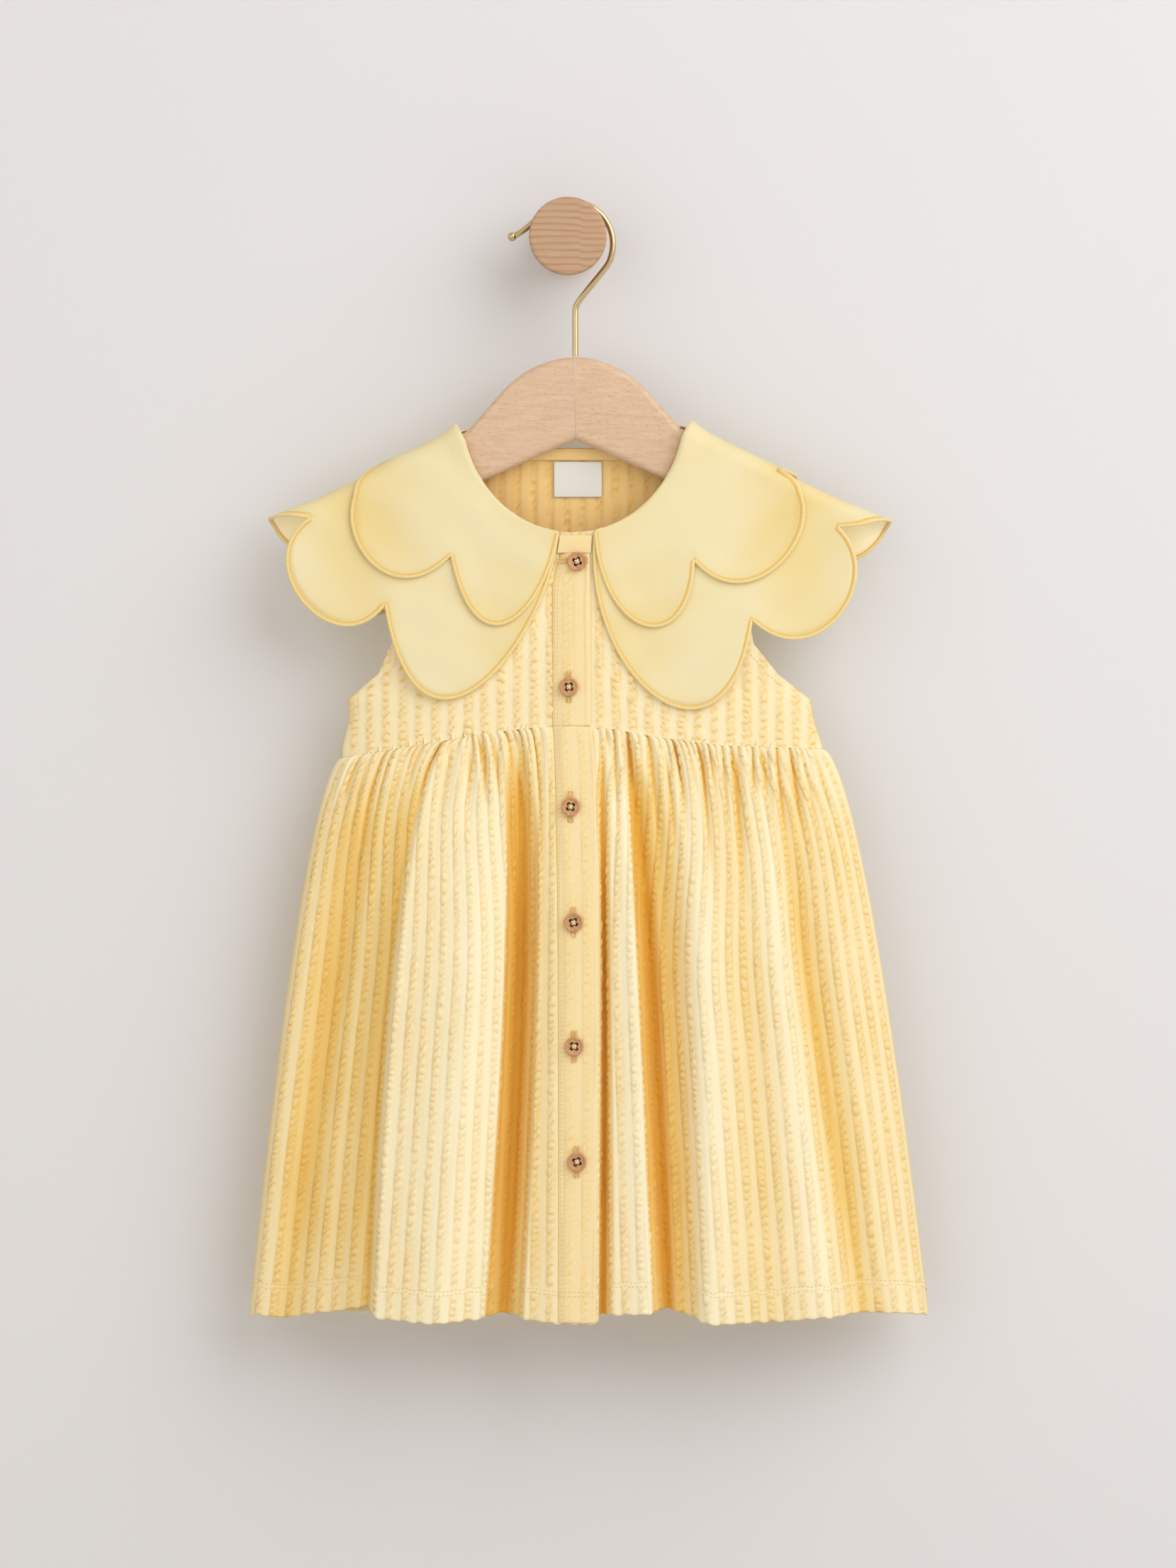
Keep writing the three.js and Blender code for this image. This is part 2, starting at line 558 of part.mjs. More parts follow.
function gatherHeight(seamX, level, face) {
  const drift = GATHER_DRIFTS.reduce((sum, { turn, run, start, byFace }) => (
    sum + turn * Math.sin(seamX / run + start + byFace * face)), 0);
  const wave = Math.cos(2 * Math.PI * seamX / GATHER.spacing + drift);
  const grow = lerp(GATHER.seamHeight, GATHER.height, smooth(level / GATHER.peakAt));
  const fade = 1 - smooth((level - GATHER.peakAt) / (GATHER.fadeAt - GATHER.peakAt));
  const swell = 0.5 + 0.5 * Math.sin(seamX / GATHER_STRENGTH.run + GATHER_STRENGTH.byFace * face);
  return wave * grow * fade * lerp(GATHER_STRENGTH.least, 1, swell);
}

// Gathers fade out under the flat button placket.
function placketFlat(seamX) {
  const off = Math.max(PLACKET_SEAM.left - seamX, seamX - PLACKET_SEAM.right, 0);
  return smooth(off / SKIRT.placketEase);
}

function skirtPoint(face, seamX, level, stand) {
  const rows = face === FRONT ? FRONT_FOLDS : BACK_FOLDS;
  const w = level ** SKIRT.spread;
  const line = foldLine(rows, seamX, w);
  const left = foldLine(rows, WAIST_ENDS.left, w).x;
  const right = foldLine(rows, WAIST_ENDS.right, w).x;
  const u = Math.min(Math.abs((2 * line.x - left - right) / (right - left)), 1);
  const lens = Math.sqrt(1 - u ** LENS_POWER);
  const hemDepth = face === FRONT ? SKIRT.frontHem : SKIRT.backHem;
  const seamZ = along(WAIST_ROWS, 'x', 'z', seamX);
  const seamDepth = shoulderDepth(seamX, seamZ, BODICE_LIFT);
  const fallen = lerp(seamDepth, hemDepth, level ** SKIRT.depthPower);
  const body = fallen + line.proud * smooth(level / SKIRT.fullAt);
  const flat = face === FRONT ? placketFlat(seamX) : 1;
  const depth = lens * (body + flat * gatherHeight(seamX, level, face)) + stand;
  return new THREE.Vector3(line.x, HANG_Y + face * (depth + GAP / 2), lerp(seamZ, line.hemZ, level));
}

function skirtPanel(face, from, to, stand, thick) {
  const perGather = face === FRONT ? GATHER.frontColumns : GATHER.backColumns;
  const count = Math.max(Math.round((to - from) / GATHER.spacing * perGather), 6);
  const sideShares = [0.06, 0.2, 0.375];
  const seams = range(count + 1).map((k) => lerp(from, to, k / count));
  const step = (to - from) / count;
  const extra = (end, sign) => sideShares.map((share) => end + sign * share * step);
  if (from === WAIST_ENDS.left) {
    seams.splice(1, 0, ...extra(from, 1));
  }
  if (to === WAIST_ENDS.right) {
    seams.splice(-1, 0, ...extra(to, -1).reverse());
  }
  const outer = SKIRT_LEVELS.map((level) => seams.map((seam) => skirtPoint(face, seam, level, stand)));
  const inward = (seam) => {
    const u = 2 * (seam - WAIST_ENDS.left) / (WAIST_ENDS.right - WAIST_ENDS.left) - 1;
    const turn = Math.max(Math.abs(u) - SKIRT.sideTurn, 0) / (1 - SKIRT.sideTurn);
    return new THREE.Vector3(-Math.sign(u) * turn, -face * (1 - turn), 0).normalize().multiplyScalar(thick);
  };
  const inner = outer.map((row) => row.map((point, j) => point.clone().add(inward(seams[j]))));
  return { outer, inner };
}

const skirtFrontLeft = skirtPanel(FRONT, WAIST_ENDS.left, CENTRE_FRONT - GAP, 0, SKIRT_CLOTH);
const skirtFrontRight = skirtPanel(FRONT, CENTRE_FRONT, WAIST_ENDS.right, 0, SKIRT_CLOTH);
const skirtBack = skirtPanel(BACK, WAIST_ENDS.left, WAIST_ENDS.right, 0, SKIRT_CLOTH);
const placketSkirt = skirtPanel(FRONT, PLACKET_SEAM.left, PLACKET_SEAM.right, LAP, CLOTH);

// Hanger arm: round-edged sections from the mitre to a rounded tip.
const HUMP_ROWS = [
  { out: 0, z: HANGER.top },
  { out: 18, z: -72.6 },
  { out: 35, z: -82 },
  { out: 50, z: -98.5 },
  { out: 57, z: -106.6 },
  { out: 61, z: -111 },
];

function hangerArm(side) {
  const stations = [0, 9, 18, 27, 35, 43, 50, 57, 61, 90, HANGER.tipFrom, 120, 124, HANGER.reach];
  const roundSteps = 6;
  const rings = stations.map((out) => {
    const onHump = out < HUMP_ROWS[HUMP_ROWS.length - 1].out;
    const x = HANGER.middle + side * (out + GAP / 2);
    const shoulder = ridgeZ(x, HANGER.half) - GAP;
    const tip = Math.max(out - HANGER.tipFrom, 0) / (HANGER.reach - HANGER.tipFrom);
    const close = Math.sqrt(1 - (HANGER.tipClose * tip) ** 2);
    const top = onHump ? along(HUMP_ROWS, 'out', 'z', out) : shoulder;
    const under = HANGER.underside - HANGER.underSlope * out;
    const middle = (top + under) / 2;
    const half = HANGER.half * close;
    const reach = (top - under) / 2 * close - half;
    const arc = (centre, from) => range(roundSteps + 1).map((k) => {
      const angle = from + Math.PI * k / roundSteps;
      return new THREE.Vector3(x, HANG_Y + half * Math.cos(angle), middle + centre + half * Math.sin(angle));
    });
    return [...arc(reach, 0), ...arc(-reach, Math.PI)];
  });
  const size = rings[0].length;
  const index = [];
  for (let i = 0; i < rings.length - 1; i += 1) {
    for (let j = 0; j < size; j += 1) {
      const next = (j + 1) % size;
      const a = i * size + j;
      const b = i * size + next;
      index.push(a, b, b + size, a, b + size, a + size);
    }
  }
  const lastRing = (rings.length - 1) * size;
  for (let j = 1; j < size - 1; j += 1) {
    index.push(0, j + 1, j);
    index.push(lastRing, lastRing + j, lastRing + j + 1);
  }
  return closedGeometry(rings.flat(), index);
}

// Two closed solids joined into one.
function joined(first, second) {
  const solid = (geometry) => {
    const bare = geometry.clone();
    bare.deleteAttribute('normal');
    bare.deleteAttribute('uv');
    const merged = mergeVertices(bare, 1e-4);
    return new wasm.Manifold(new wasm.Mesh({
      numProp: 3,
      vertProperties: new Float32Array(merged.attributes.position.array),
      triVerts: new Uint32Array(merged.index.array),
    }));
  };
  const mesh = solid(first).add(solid(second)).getMesh();
  const geometry = new THREE.BufferGeometry();
  geometry.setAttribute('position', new THREE.Float32BufferAttribute(mesh.vertProperties, 3));
  geometry.setIndex(Array.from(mesh.triVerts));
  geometry.computeVertexNormals();
  return geometry;
}

// Wire hook: up the stem, round over the peg, ending in a small ball.
function hookGeometry() {
  const { arcRadius } = WIRE;
  const arcCentre = { x: WIRE.arcX, z: PEG.shank + 2 * GAP + WIRE.radius - arcRadius };
  const arcEnds = { right: THREE.MathUtils.degToRad(-32), left: THREE.MathUtils.degToRad(146) };
  const arc = range(13).map((k) => {
    const angle = lerp(arcEnds.right, arcEnds.left, k / 12);
    return [arcCentre.x + arcRadius * Math.cos(angle), arcCentre.z + arcRadius * Math.sin(angle)];
  });
  const route = [
    [WIRE.stemX, HANGER.top + GAP],
    [WIRE.stemX, -57],
    [WIRE.stemX, WIRE.stemTop],
    [5.2, -39],
    [11.5, -30.5],
    ...arc,
    [-27, 3.2],
    WIRE.tip,
  ];
  const path = new THREE.CatmullRomCurve3(route.map(([x, z]) => new THREE.Vector3(x, HANG_Y, z)));
  const section = new THREE.Shape();
  section.absarc(0, 0, WIRE.radius, 0, 2 * Math.PI);
  const wire = new THREE.ExtrudeGeometry(section, { steps: 32, curveSegments: 4, extrudePath: path });
  const ball = new THREE.SphereGeometry(WIRE.tipRadius, 10, 7);
  ball.translate(WIRE.tip[0], HANG_Y, WIRE.tip[1]);
  return joined(wire, ball);
}

// Wall peg: a thick shank that the hook rests on, and a wider round disc in front of it.
function pegGeometry() {
  const { disc, discFront, discBack, shank, edge } = PEG;
  const profile = [
    [0, 0], [shank, 0], [shank, -discBack - 0.01], [disc - edge, -discBack], [disc, -discBack + edge],
    [disc, -discFront - edge], [disc - edge, -discFront], [0, -discFront],
  ].map(([radius, out]) => new THREE.Vector2(radius, out));
  const geometry = new THREE.LatheGeometry(profile, 28);
  geometry.rotateX(Math.PI);
  return geometry;
}

// Button: a rimmed disc with a sunk face, turned round its own axis.
function buttonGeometry() {
  const { radius, thick, rim, well } = BUTTON;
  const profile = [
    [0, 0], [radius - 0.8, 0], [radius, 0.7], [radius, thick - 0.6], [radius - 0.5, thick],
    [radius - rim, thick], [radius - rim - 0.5, thick - well], [0, thick - well],
  ].map(([across, out]) => new THREE.Vector2(across, out));
  const geometry = new THREE.LatheGeometry(profile, 14);
  geometry.rotateX(Math.PI);
  return geometry;
}

// Assembly
const group = new THREE.Group();

function add(name, geometry, look) {
  const mesh = new THREE.Mesh(geometry, new THREE.MeshStandardMaterial({ ...PALETTE[look] }));
  mesh.name = name;
  group.add(mesh);
  return mesh;
}

const wallOf = ({ outer, inner }) => wallGeometry(outer, inner);

add('bodice_front_left', wallOf(bodiceFrontLeft), 'seersucker');
add('bodice_front_right', wallOf(bodiceFrontRight), 'seersucker');
add('bodice_back', wallOf(bodiceBack()), 'seersucker');
add('skirt_front_left', wallOf(skirtFrontLeft), 'seersucker');
add('skirt_front_right', wallOf(skirtFrontRight), 'seersucker');
add('skirt_back', wallOf(skirtBack), 'seersucker');
add('placket_bodice', wallOf(placketBodice), 'seersucker');
add('placket_skirt', wallOf(placketSkirt), 'seersucker');
add('neck_band', wallOf(neckBand), 'seersucker');
add('neck_tape', wallOf(neckTape), 'seersucker');
add('label', wallOf(labelPiece), 'label');
for (const [place, tier] of Object.entries(COLLARS)) {
  add(`collar_${place}`, wallOf(collarTier(tier)), 'collar');
}

// Front of the placket at a height, on its middle column.
function placketFront(z) {
  const middle = ({ outer }) => outer.map((row) => row[Math.floor(row.length / 2)]);
  const line = [...middle(placketBodice), ...middle(placketSkirt)];
  return along(line, 'z', 'y', z);
}

BUTTONS.forEach(({ x, z }, k) => {
  const button = add(`button_${k + 1}`, buttonGeometry(), 'button');
  const seat = Math.min(placketFront(z - BUTTON.radius), placketFront(z + BUTTON.radius));
  button.position.set(x, seat - GAP, z);
});

add('hanger_arm_left', hangerArm(-1), 'beech');
add('hanger_arm_right', hangerArm(1), 'beech');
add('hanger_hook', hookGeometry(), 'brass');
add('wall_peg', pegGeometry(), 'beech');

export default group;
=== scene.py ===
# %% [markdown]
# # A child's sundress on its hanger
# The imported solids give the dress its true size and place. This lesson dresses them: every piece of cloth
# becomes a fine surface on the form of its solid, and wood, wire and thread get their own finish.
# The frame comes first, because every later piece is placed by it.

import bpy
import numpy as np
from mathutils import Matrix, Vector


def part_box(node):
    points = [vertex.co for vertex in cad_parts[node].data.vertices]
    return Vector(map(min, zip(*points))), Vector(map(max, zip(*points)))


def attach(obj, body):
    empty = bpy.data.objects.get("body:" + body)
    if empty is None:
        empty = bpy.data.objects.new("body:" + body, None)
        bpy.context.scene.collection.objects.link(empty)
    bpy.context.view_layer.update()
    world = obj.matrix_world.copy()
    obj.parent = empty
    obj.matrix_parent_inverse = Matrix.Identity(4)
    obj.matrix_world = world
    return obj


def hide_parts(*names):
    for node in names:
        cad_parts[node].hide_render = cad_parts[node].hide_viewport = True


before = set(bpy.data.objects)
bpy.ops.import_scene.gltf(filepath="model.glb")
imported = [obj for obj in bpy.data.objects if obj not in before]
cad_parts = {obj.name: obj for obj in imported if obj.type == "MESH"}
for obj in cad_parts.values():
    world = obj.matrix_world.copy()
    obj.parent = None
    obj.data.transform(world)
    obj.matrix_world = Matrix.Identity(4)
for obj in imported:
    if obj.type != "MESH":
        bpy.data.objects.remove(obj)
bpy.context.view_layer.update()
MM = 0.001
BODY = "root"
rng = np.random.default_rng(7)


# %% [markdown]
# ## Writing shaders as sums
# A finish is a small graph of nodes. Wiring each node by hand hides the idea, so one class wraps a socket and
# lets Python's own signs add Math nodes. A second class holds the material and makes any other node.

# %% Shader values
class Val:
    """A shader value. Each sign adds one Math node whose inputs are the two sides."""

    def __init__(self, look, socket):
        self.look = look
        self.socket = socket

    def math(self, operation, first, second=0.0):
        return self.look.node("ShaderNodeMath", {"operation": operation}, {0: first, 1: second})

    def __add__(self, other):
        return self.math("ADD", self, other)

    def __radd__(self, other):
        return self.math("ADD", other, self)

    def __sub__(self, other):
        return self.math("SUBTRACT", self, other)

    def __rsub__(self, other):
        return self.math("SUBTRACT", other, self)

    def __mul__(self, other):
        return self.math("MULTIPLY", self, other)

    def __rmul__(self, other):
        return self.math("MULTIPLY", other, self)

    def sine(self):
        return self.math("SINE", self)

    def above(self, low, high):
        """0 below low, 1 above high, with a straight rise between."""
        sockets = {"Value": self, "From Min": low, "From Max": high}
        return self.look.node("ShaderNodeMapRange", {"clamp": True}, sockets)


print("signs that add nodes: + - *")

# %% Materials
class Look:
    """A material with one Principled shader, and one method that makes any other node."""

    def __init__(self, name, **fixed):
        self.material = bpy.data.materials.new(name)
        self.material.use_nodes = True
        self.tree = self.material.node_tree
        self.shader = self.tree.nodes["Principled BSDF"]
        for socket, value in fixed.items():
            self.shader.inputs[socket.replace("_", " ")].default_value = value

    def node(self, kind, settings=None, sockets=None, output=0):
        made = self.tree.nodes.new(kind)
        for key, value in (settings or {}).items():
            setattr(made, key, value)
        for key, value in (sockets or {}).items():
            self.join(made.inputs[key], value)
        return Val(self, made.outputs[output])

    def join(self, socket, value):
        if isinstance(value, Val):
            self.tree.links.new(value.socket, socket)
        else:
            socket.default_value = value

    def mix(self, share, first, second):
        """Colour between first and second: share 0 gives first, 1 gives second."""
        sockets = {0: share, 6: first, 7: second}
        return self.node("ShaderNodeMix", {"data_type": "RGBA"}, sockets, output=2)

    def place(self, scale=(1, 1, 1), turn=(0, 0, 0)):
        """Object coordinates in metres, stretched and turned."""
        where = self.node("ShaderNodeTexCoord", output=3)
        return self.node("ShaderNodeMapping", {}, {"Vector": where, "Scale": scale, "Rotation": turn})

    def noise(self, where, scale, detail=3.0):
        return self.node("ShaderNodeTexNoise", {}, {"Vector": where, "Scale": scale, "Detail": detail})

    def attribute(self, name):
        return self.node("ShaderNodeAttribute", {"attribute_name": name}, output=2)

    def paint(self, **channels):
        for socket, value in channels.items():
            self.join(self.shader.inputs[socket.replace("_", " ")], value)

    def bump(self, height, distance, strength=1.0):
        sockets = {"Height": height, "Distance": distance, "Strength": strength}
        self.join(self.shader.inputs["Normal"], self.node("ShaderNodeBump", {}, sockets))


def colour(red, green, blue):
    """A colour as seen on a screen, 0 to 255, turned into the linear light that shaders use."""
    share = np.array([red, green, blue]) / 255.0
    linear = np.where(share <= 0.04045, share / 12.92, ((share + 0.055) / 1.055) ** 2.4)
    return (*linear.tolist(), 1.0)


print("shader helpers ready")

# %% [markdown]
# ## The dress cloth
# The body is seersucker: flat stripes alternate with puckered ones. The puckers are real geometry further on,
# and each point carries one number of tint and painted shade, mostly for how deep it lies in a pucker or
# fold.
# The finish moves the colour by it, so shade and a little light are painted into the cloth, and adds the fuzz
# of cotton.

# %% Cloth finishes
def cloth_look(name, lit, mid, deep, fuzz, **fixed):
    """Fine weave. The number of tint and painted shade at each point moves the colour from lit through mid to
    deep: light and shade painted into the colour.
    """
    fixed.update(Roughness=0.92, Sheen_Weight=0.15, Sheen_Roughness=0.5, Specular_IOR_Level=0.15)
    look = Look(name, **fixed)
    lit, mid, deep = colour(*lit), colour(*mid), colour(*deep)
    threads = look.noise(look.place(), 900.0)
    patches = look.noise(look.place(), 22.0)
    shade = look.attribute("tint_and_painted_shade") + (threads - 0.5) * 0.12 + (patches - 0.5) * 0.14
    near = look.mix(shade.above(0.0, 0.5), lit, mid)
    look.paint(Base_Color=look.mix(shade.above(0.45, 1.0), near, deep))
    look.bump(threads, 0.0002, fuzz)
    return look.material


# Each cloth has a lit, a mid and a deep colour: copies of one colour in painted light and shade.
SEERSUCKER = cloth_look("seersucker", (254, 242, 206), (242, 208, 130), (230, 173, 66), 0.35)
# Painted shade: the inner faces get a darker, more golden copy of the seersucker.
PAINTED_SHADE_INSIDE_CLOTH = cloth_look("seersucker_inside_painted_shade", (247, 214, 148), (238, 194, 116), (212, 152, 66), 0.35)
COLLAR_CLOTH = cloth_look("collar_cloth", (241, 228, 184), (239, 214, 146), (212, 163, 78), 0.22)
LABEL_CLOTH = cloth_look("label_cloth", (234, 234, 228), (222, 222, 214), (204, 202, 192), 0.3)


def thread_look(name, lit, deep):
    """Twisted thread: painted light and shade turn about along its length, read from the piece's own map.
    Points that carry an inner number are darker.
    """
    look = Look(name, Roughness=0.75, Sheen_Weight=0.2)
    along = look.attribute("along")
    twist = (along * 5200.0).sine() * 0.5 + 0.5
    shade = (twist * 0.6 + look.attribute("inner")).above(0.0, 1.0)
    look.paint(Base_Color=look.mix(shade, lit, deep))
    look.bump(twist, 0.00025, 0.6)
    return look.material


EDGING_THREAD = thread_look("edging_thread", colour(250, 233, 172), colour(238, 197, 108))
SEWING_THREAD = thread_look("sewing_thread", colour(248, 222, 150), colour(222, 172, 82))
HOLE_THREAD = thread_look("hole_thread", colour(242, 208, 130), colour(218, 166, 84))
CREAM_THREAD = thread_look("cream_thread", colour(250, 236, 188), colour(232, 212, 156))
print("cloth finishes made")

# %% [markdown]
# ## Surfaces from arrays
# A piece of cloth is a grid of points: one direction runs across it, the other down it. The same idea makes
# tubes (a ring carried along a path) and turned pieces (a profile carried round an axis). Each grid is worked
# out as one array and handed to Blender in a single call, which is far quicker than adding points one by one.

# %% Grids into meshes
def grid_faces(rows, cols, wrap_cols=False):
    """Corner numbers of each square of a grid. Wrapped columns join last to first, as round a tube."""
    across = np.arange(cols if wrap_cols else cols - 1)
    i, j = np.meshgrid(np.arange(rows - 1), across, indexing="ij")
    below, right = i + 1, (j + 1) % cols
    corners = [i * cols + j, below * cols + j, below * cols + right, i * cols + right]
    return np.stack(corners, axis=-1).reshape(-1, 4)


def make_piece(name, points, faces, material, values=None):
    """Mesh object from points in millimetres, faces as corner numbers, and numbers carried by its points."""
    mesh = bpy.data.meshes.new(name)
    points = np.asarray(points, dtype=float).reshape(-1, 3) * MM
    mesh.from_pydata(points, [], faces if isinstance(faces, list) else faces.tolist())
    for key, numbers in (values or {}).items():
        layer = mesh.attributes.new(key, "FLOAT", "POINT")
        layer.data.foreach_set("value", np.asarray(numbers, dtype=np.float32).ravel())
    mesh.shade_smooth()
    mesh.materials.append(material)
    piece = bpy.data.objects.new(name, mesh)
    bpy.context.collection.objects.link(piece)
    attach(piece, BODY)
    return piece


print("lengths are in millimetres until a mesh is made, then times", MM)

# %% Directions
def unit(vectors):
    return vectors / np.maximum(np.linalg.norm(vectors, axis=-1, keepdims=True), 1e-9)


def grid_normals(grid, facing):
    """Cross product of the two directions of the grid, turned to the side that facing gives."""
    normal = unit(np.cross(np.gradient(grid, axis=0), np.gradient(grid, axis=1)))
    turn = np.sign(np.sum(normal * np.asarray(facing, dtype=float), axis=-1, keepdims=True))
    return normal * np.where(turn == 0, 1, turn)


def facing_out(grid, faces, facing):
    """Faces in the order that makes them look to the side that facing gives."""
    points = grid.reshape(-1, 3)
    first, second, third = (points[faces[:, k]] for k in (0, 1, 2))
    area = np.cross(second - first, third - first)
    outward = np.broadcast_to(np.asarray(facing, dtype=float), grid.shape).reshape(-1, 3)[faces[:, 0]]
    return faces if np.sum(area * outward) > 0 else faces[:, ::-1]


print("grids can be turned to face outwards")

# %% Cloth sheets
def cloth_sheet(name, grid, facing, material, tint_and_painted_shade, thick=0.0, inside=None):
    """One layer of cloth on a grid. With a thickness, Solidify adds the inner face and closes the edges,
    and the inner face may have a finish of its own: a darker copy with painted shade, or one with a painted
    glow."""
    faces = facing_out(grid, grid_faces(*grid.shape[:2]), facing)
    piece = make_piece(name, grid, faces, material, {"tint_and_painted_shade": tint_and_painted_shade})
    if thick:
        wall = piece.modifiers.new("thickness", "SOLIDIFY")
        wall.thickness = thick * MM
        wall.offset = -1.0
    if inside:
        piece.data.materials.append(inside)
        wall.material_offset = 1
    return piece


print("cloth sheets get their edges from Solidify")

# %% Tubes
def tube_points(path, radius, sides, up):
    """Rings round a path. Each ring stands square to the path: its first arm is up made square to the path,
    and its second arm is square to both. radius may change along the path."""
    path = np.asarray(path, dtype=float)
    ahead = unit(np.gradient(path, axis=0))
    across = unit(np.cross(ahead, np.broadcast_to(np.asarray(up, dtype=float), path.shape)))
    over = np.cross(across, ahead)
    turn = np.linspace(0, 2 * np.pi, sides, endpoint=False)
    ring = np.cos(turn)[None, :, None] * across[:, None] + np.sin(turn)[None, :, None] * over[:, None]
    radius = np.broadcast_to(np.asarray(radius, dtype=float), len(path))
    return path[:, None] + ring * radius[:, None, None]


def path_length(path):
    steps = np.linalg.norm(np.diff(path, axis=0), axis=1)
    return np.concatenate([[0.0], np.cumsum(steps)])


def tube(path, radius, sides=8, up=(0, -1, 0)):
    """Points, faces and distance along, for a tube. Each end closes to a point in its middle."""
    rings = tube_points(path, radius, sides, up)
    count = len(rings)
    ends = np.stack([path[0], path[-1]])
    faces = grid_faces(count, sides, wrap_cols=True)
    turn = np.arange(sides)
    after = (turn + 1) % sides
    tip, tail = count * sides, count * sides + 1
    last = (count - 1) * sides
    caps = np.concatenate([
        np.stack([np.full(sides, tip), turn, after, after], axis=1),
        np.stack([np.full(sides, tail), last + after, last + turn, last + turn], axis=1),
    ])
    along = np.repeat(path_length(path), sides)
    along = np.concatenate([along, [0.0, along[-1]]])
    points = np.concatenate([rings.reshape(-1, 3), ends])
    return points, np.concatenate([faces, caps]), along


def as_polygons(faces):
    """Square faces with a doubled corner become three-cornered ones."""
    return [face[:3] if face[2] == face[3] else face for face in np.asarray(faces).tolist()]


def joined(parts):
    """Several (points, faces, along) as one. Each part's corner numbers move past the earlier points."""
    offsets = np.cumsum([0] + [len(points) for points, _, _ in parts[:-1]])
    points = np.concatenate([points for points, _, _ in parts])
    faces = np.concatenate([faces + offset for (_, faces, _), offset in zip(parts, offsets)])
    along = np.concatenate([along for _, _, along in parts])
    return points, faces, along


def thread_piece(name, parts, material):
    """One mesh from many tubes, with the distance along each tube carried by its points, in metres."""
    points, faces, along = joined(parts)
    return make_piece(name, points, as_polygons(faces), material, {"along": along * MM})


print("tubes are rings carried along a path")

# %% Easing
def eased(t):
    """0 to 1 with a flat start and a flat end: three t squared minus two t cubed."""
    t = np.clip(t, 0, 1)
    return t * t * (3 - 2 * t)


def between(first, second, share):
    return first + (second - first) * share


def column(rows, k):
    return np.array([row[k] for row in rows], dtype=float)


print("mesh helpers ready")

# %% [markdown]
# ## The form of the dress
# The cloth hangs over the hanger's sloping arms: in section it is a round fold that falls away on both sides
# and swings out a little. Lower down the front and the back close to the side seams like a lens.
# These are the same sizes that the solids have, in millimetres, so the fine cloth lies on its solid.

# %% Sizes of the form
FRONT, BACK = -1, 1
HANG_Y = -38.0
CLOTH, GAP = 1.0, 0.3
HANGER_HALF = 5.5
SLOPE = np.radians(26)
COS, SIN = np.cos(SLOPE), np.sin(SLOPE)
APEX_X, APEX_Z = 5.6, -87.2
FOLD = (HANGER_HALF + GAP) / np.cos(np.pi / 8)
QUARTER = FOLD * np.pi / 2
SPLAY = 0.05
BODICE_LIFT = FOLD + CLOTH
NECK_X, NECK_Z, NECK_HALF, NECK_DROP, NECK_BACK = 3.0, -100.0, 64.5, 71.5, -121.8
# height, left edge, right edge
SIDE_ROWS = [
    (-124, -92.7, 103.9), (-190, -93, 101), (-236, -102, 107.5), (-254, -110, 122),
    (-268, -128, 141), (-281, -127.5, 143.5), (-297, -131.6, 148.4),
]
# place across, height of the waist seam
WAIST_ROWS = [
    (-131.6, -302.2), (-95.5, -296.4), (-43.5, -287.8), (-20, -285), (4.7, -284),
    (28, -286.2), (52, -290.6), (91, -295.6), (148.4, -297),
]
WAIST_LEFT, WAIST_RIGHT = WAIST_ROWS[0][0], WAIST_ROWS[-1][0]
LENS_START, LENS_FULL = -205.0, -262.0
CENTRE_FRONT = -4.6


print("the fold over the shoulder has a radius of", round(float(FOLD), 2), "mm")

# %% Shoulder and bodice depth
def waist_z(x):
    return np.interp(x, column(WAIST_ROWS, 0), column(WAIST_ROWS, 1))


def flank(z, k):
    """Left (k = 1) or right (k = 2) edge of the bodice at a height."""
    return np.interp(-z, -column(SIDE_ROWS, 0), column(SIDE_ROWS, k))


def shoulder_depth(x, z, lift):
    """Distance from the hanging plane: a circle of radius lift over the ridge, then a straight splay."""
    below = (APEX_Z - z) * COS - np.abs(x - APEX_X) * SIN
    fold = np.sqrt(np.maximum(lift ** 2 - np.minimum(below, 0) ** 2, 0))
    return np.where(below < 0, fold, lift + SPLAY * below)


def bodice_depth(x, z):
    """Shoulder depth that closes to the side seams by the root of one minus the fourth power of the
    place across."""
    low = np.minimum(z, LENS_FULL)
    left, right = flank(low, 1), flank(low, 2)
    across = np.clip(np.abs((2 * x - left - right) / (right - left)), 0, 1)
    lens = np.sqrt(1 - across ** 4)
    closing = eased((LENS_START - z) / (LENS_START - LENS_FULL))
    return shoulder_depth(x, z, BODICE_LIFT) * between(1, lens, closing) + GAP / 2


def ridge_z(x, lift):
    return APEX_Z - np.abs(x - APEX_X) * np.tan(SLOPE) + lift / COS


def on_bodice(face, x, z, stand=0.0):
    x, z = np.broadcast_arrays(np.asarray(x, dtype=float), np.asarray(z, dtype=float))
    return np.stack([x, HANG_Y + face * (bodice_depth(x, z) + stand), z], axis=-1)


print("bodice at the hanger stands out", BODICE_LIFT, "mm")

# %% Collar pattern
def pattern_place(side, x, z, face):
    """Place on the flat collar pattern: distance along the shoulder ridge, and distance round the fold."""
    east, north = side * (np.asarray(x) - APEX_X), np.asarray(z) - APEX_Z
    rise = east * SIN + north * COS
    fold = np.where(rise < 0, QUARTER - rise, FOLD * np.arccos(np.clip(rise / FOLD, -1, 1)))
    return np.stack([east * COS - north * SIN, -face * fold], axis=-1)


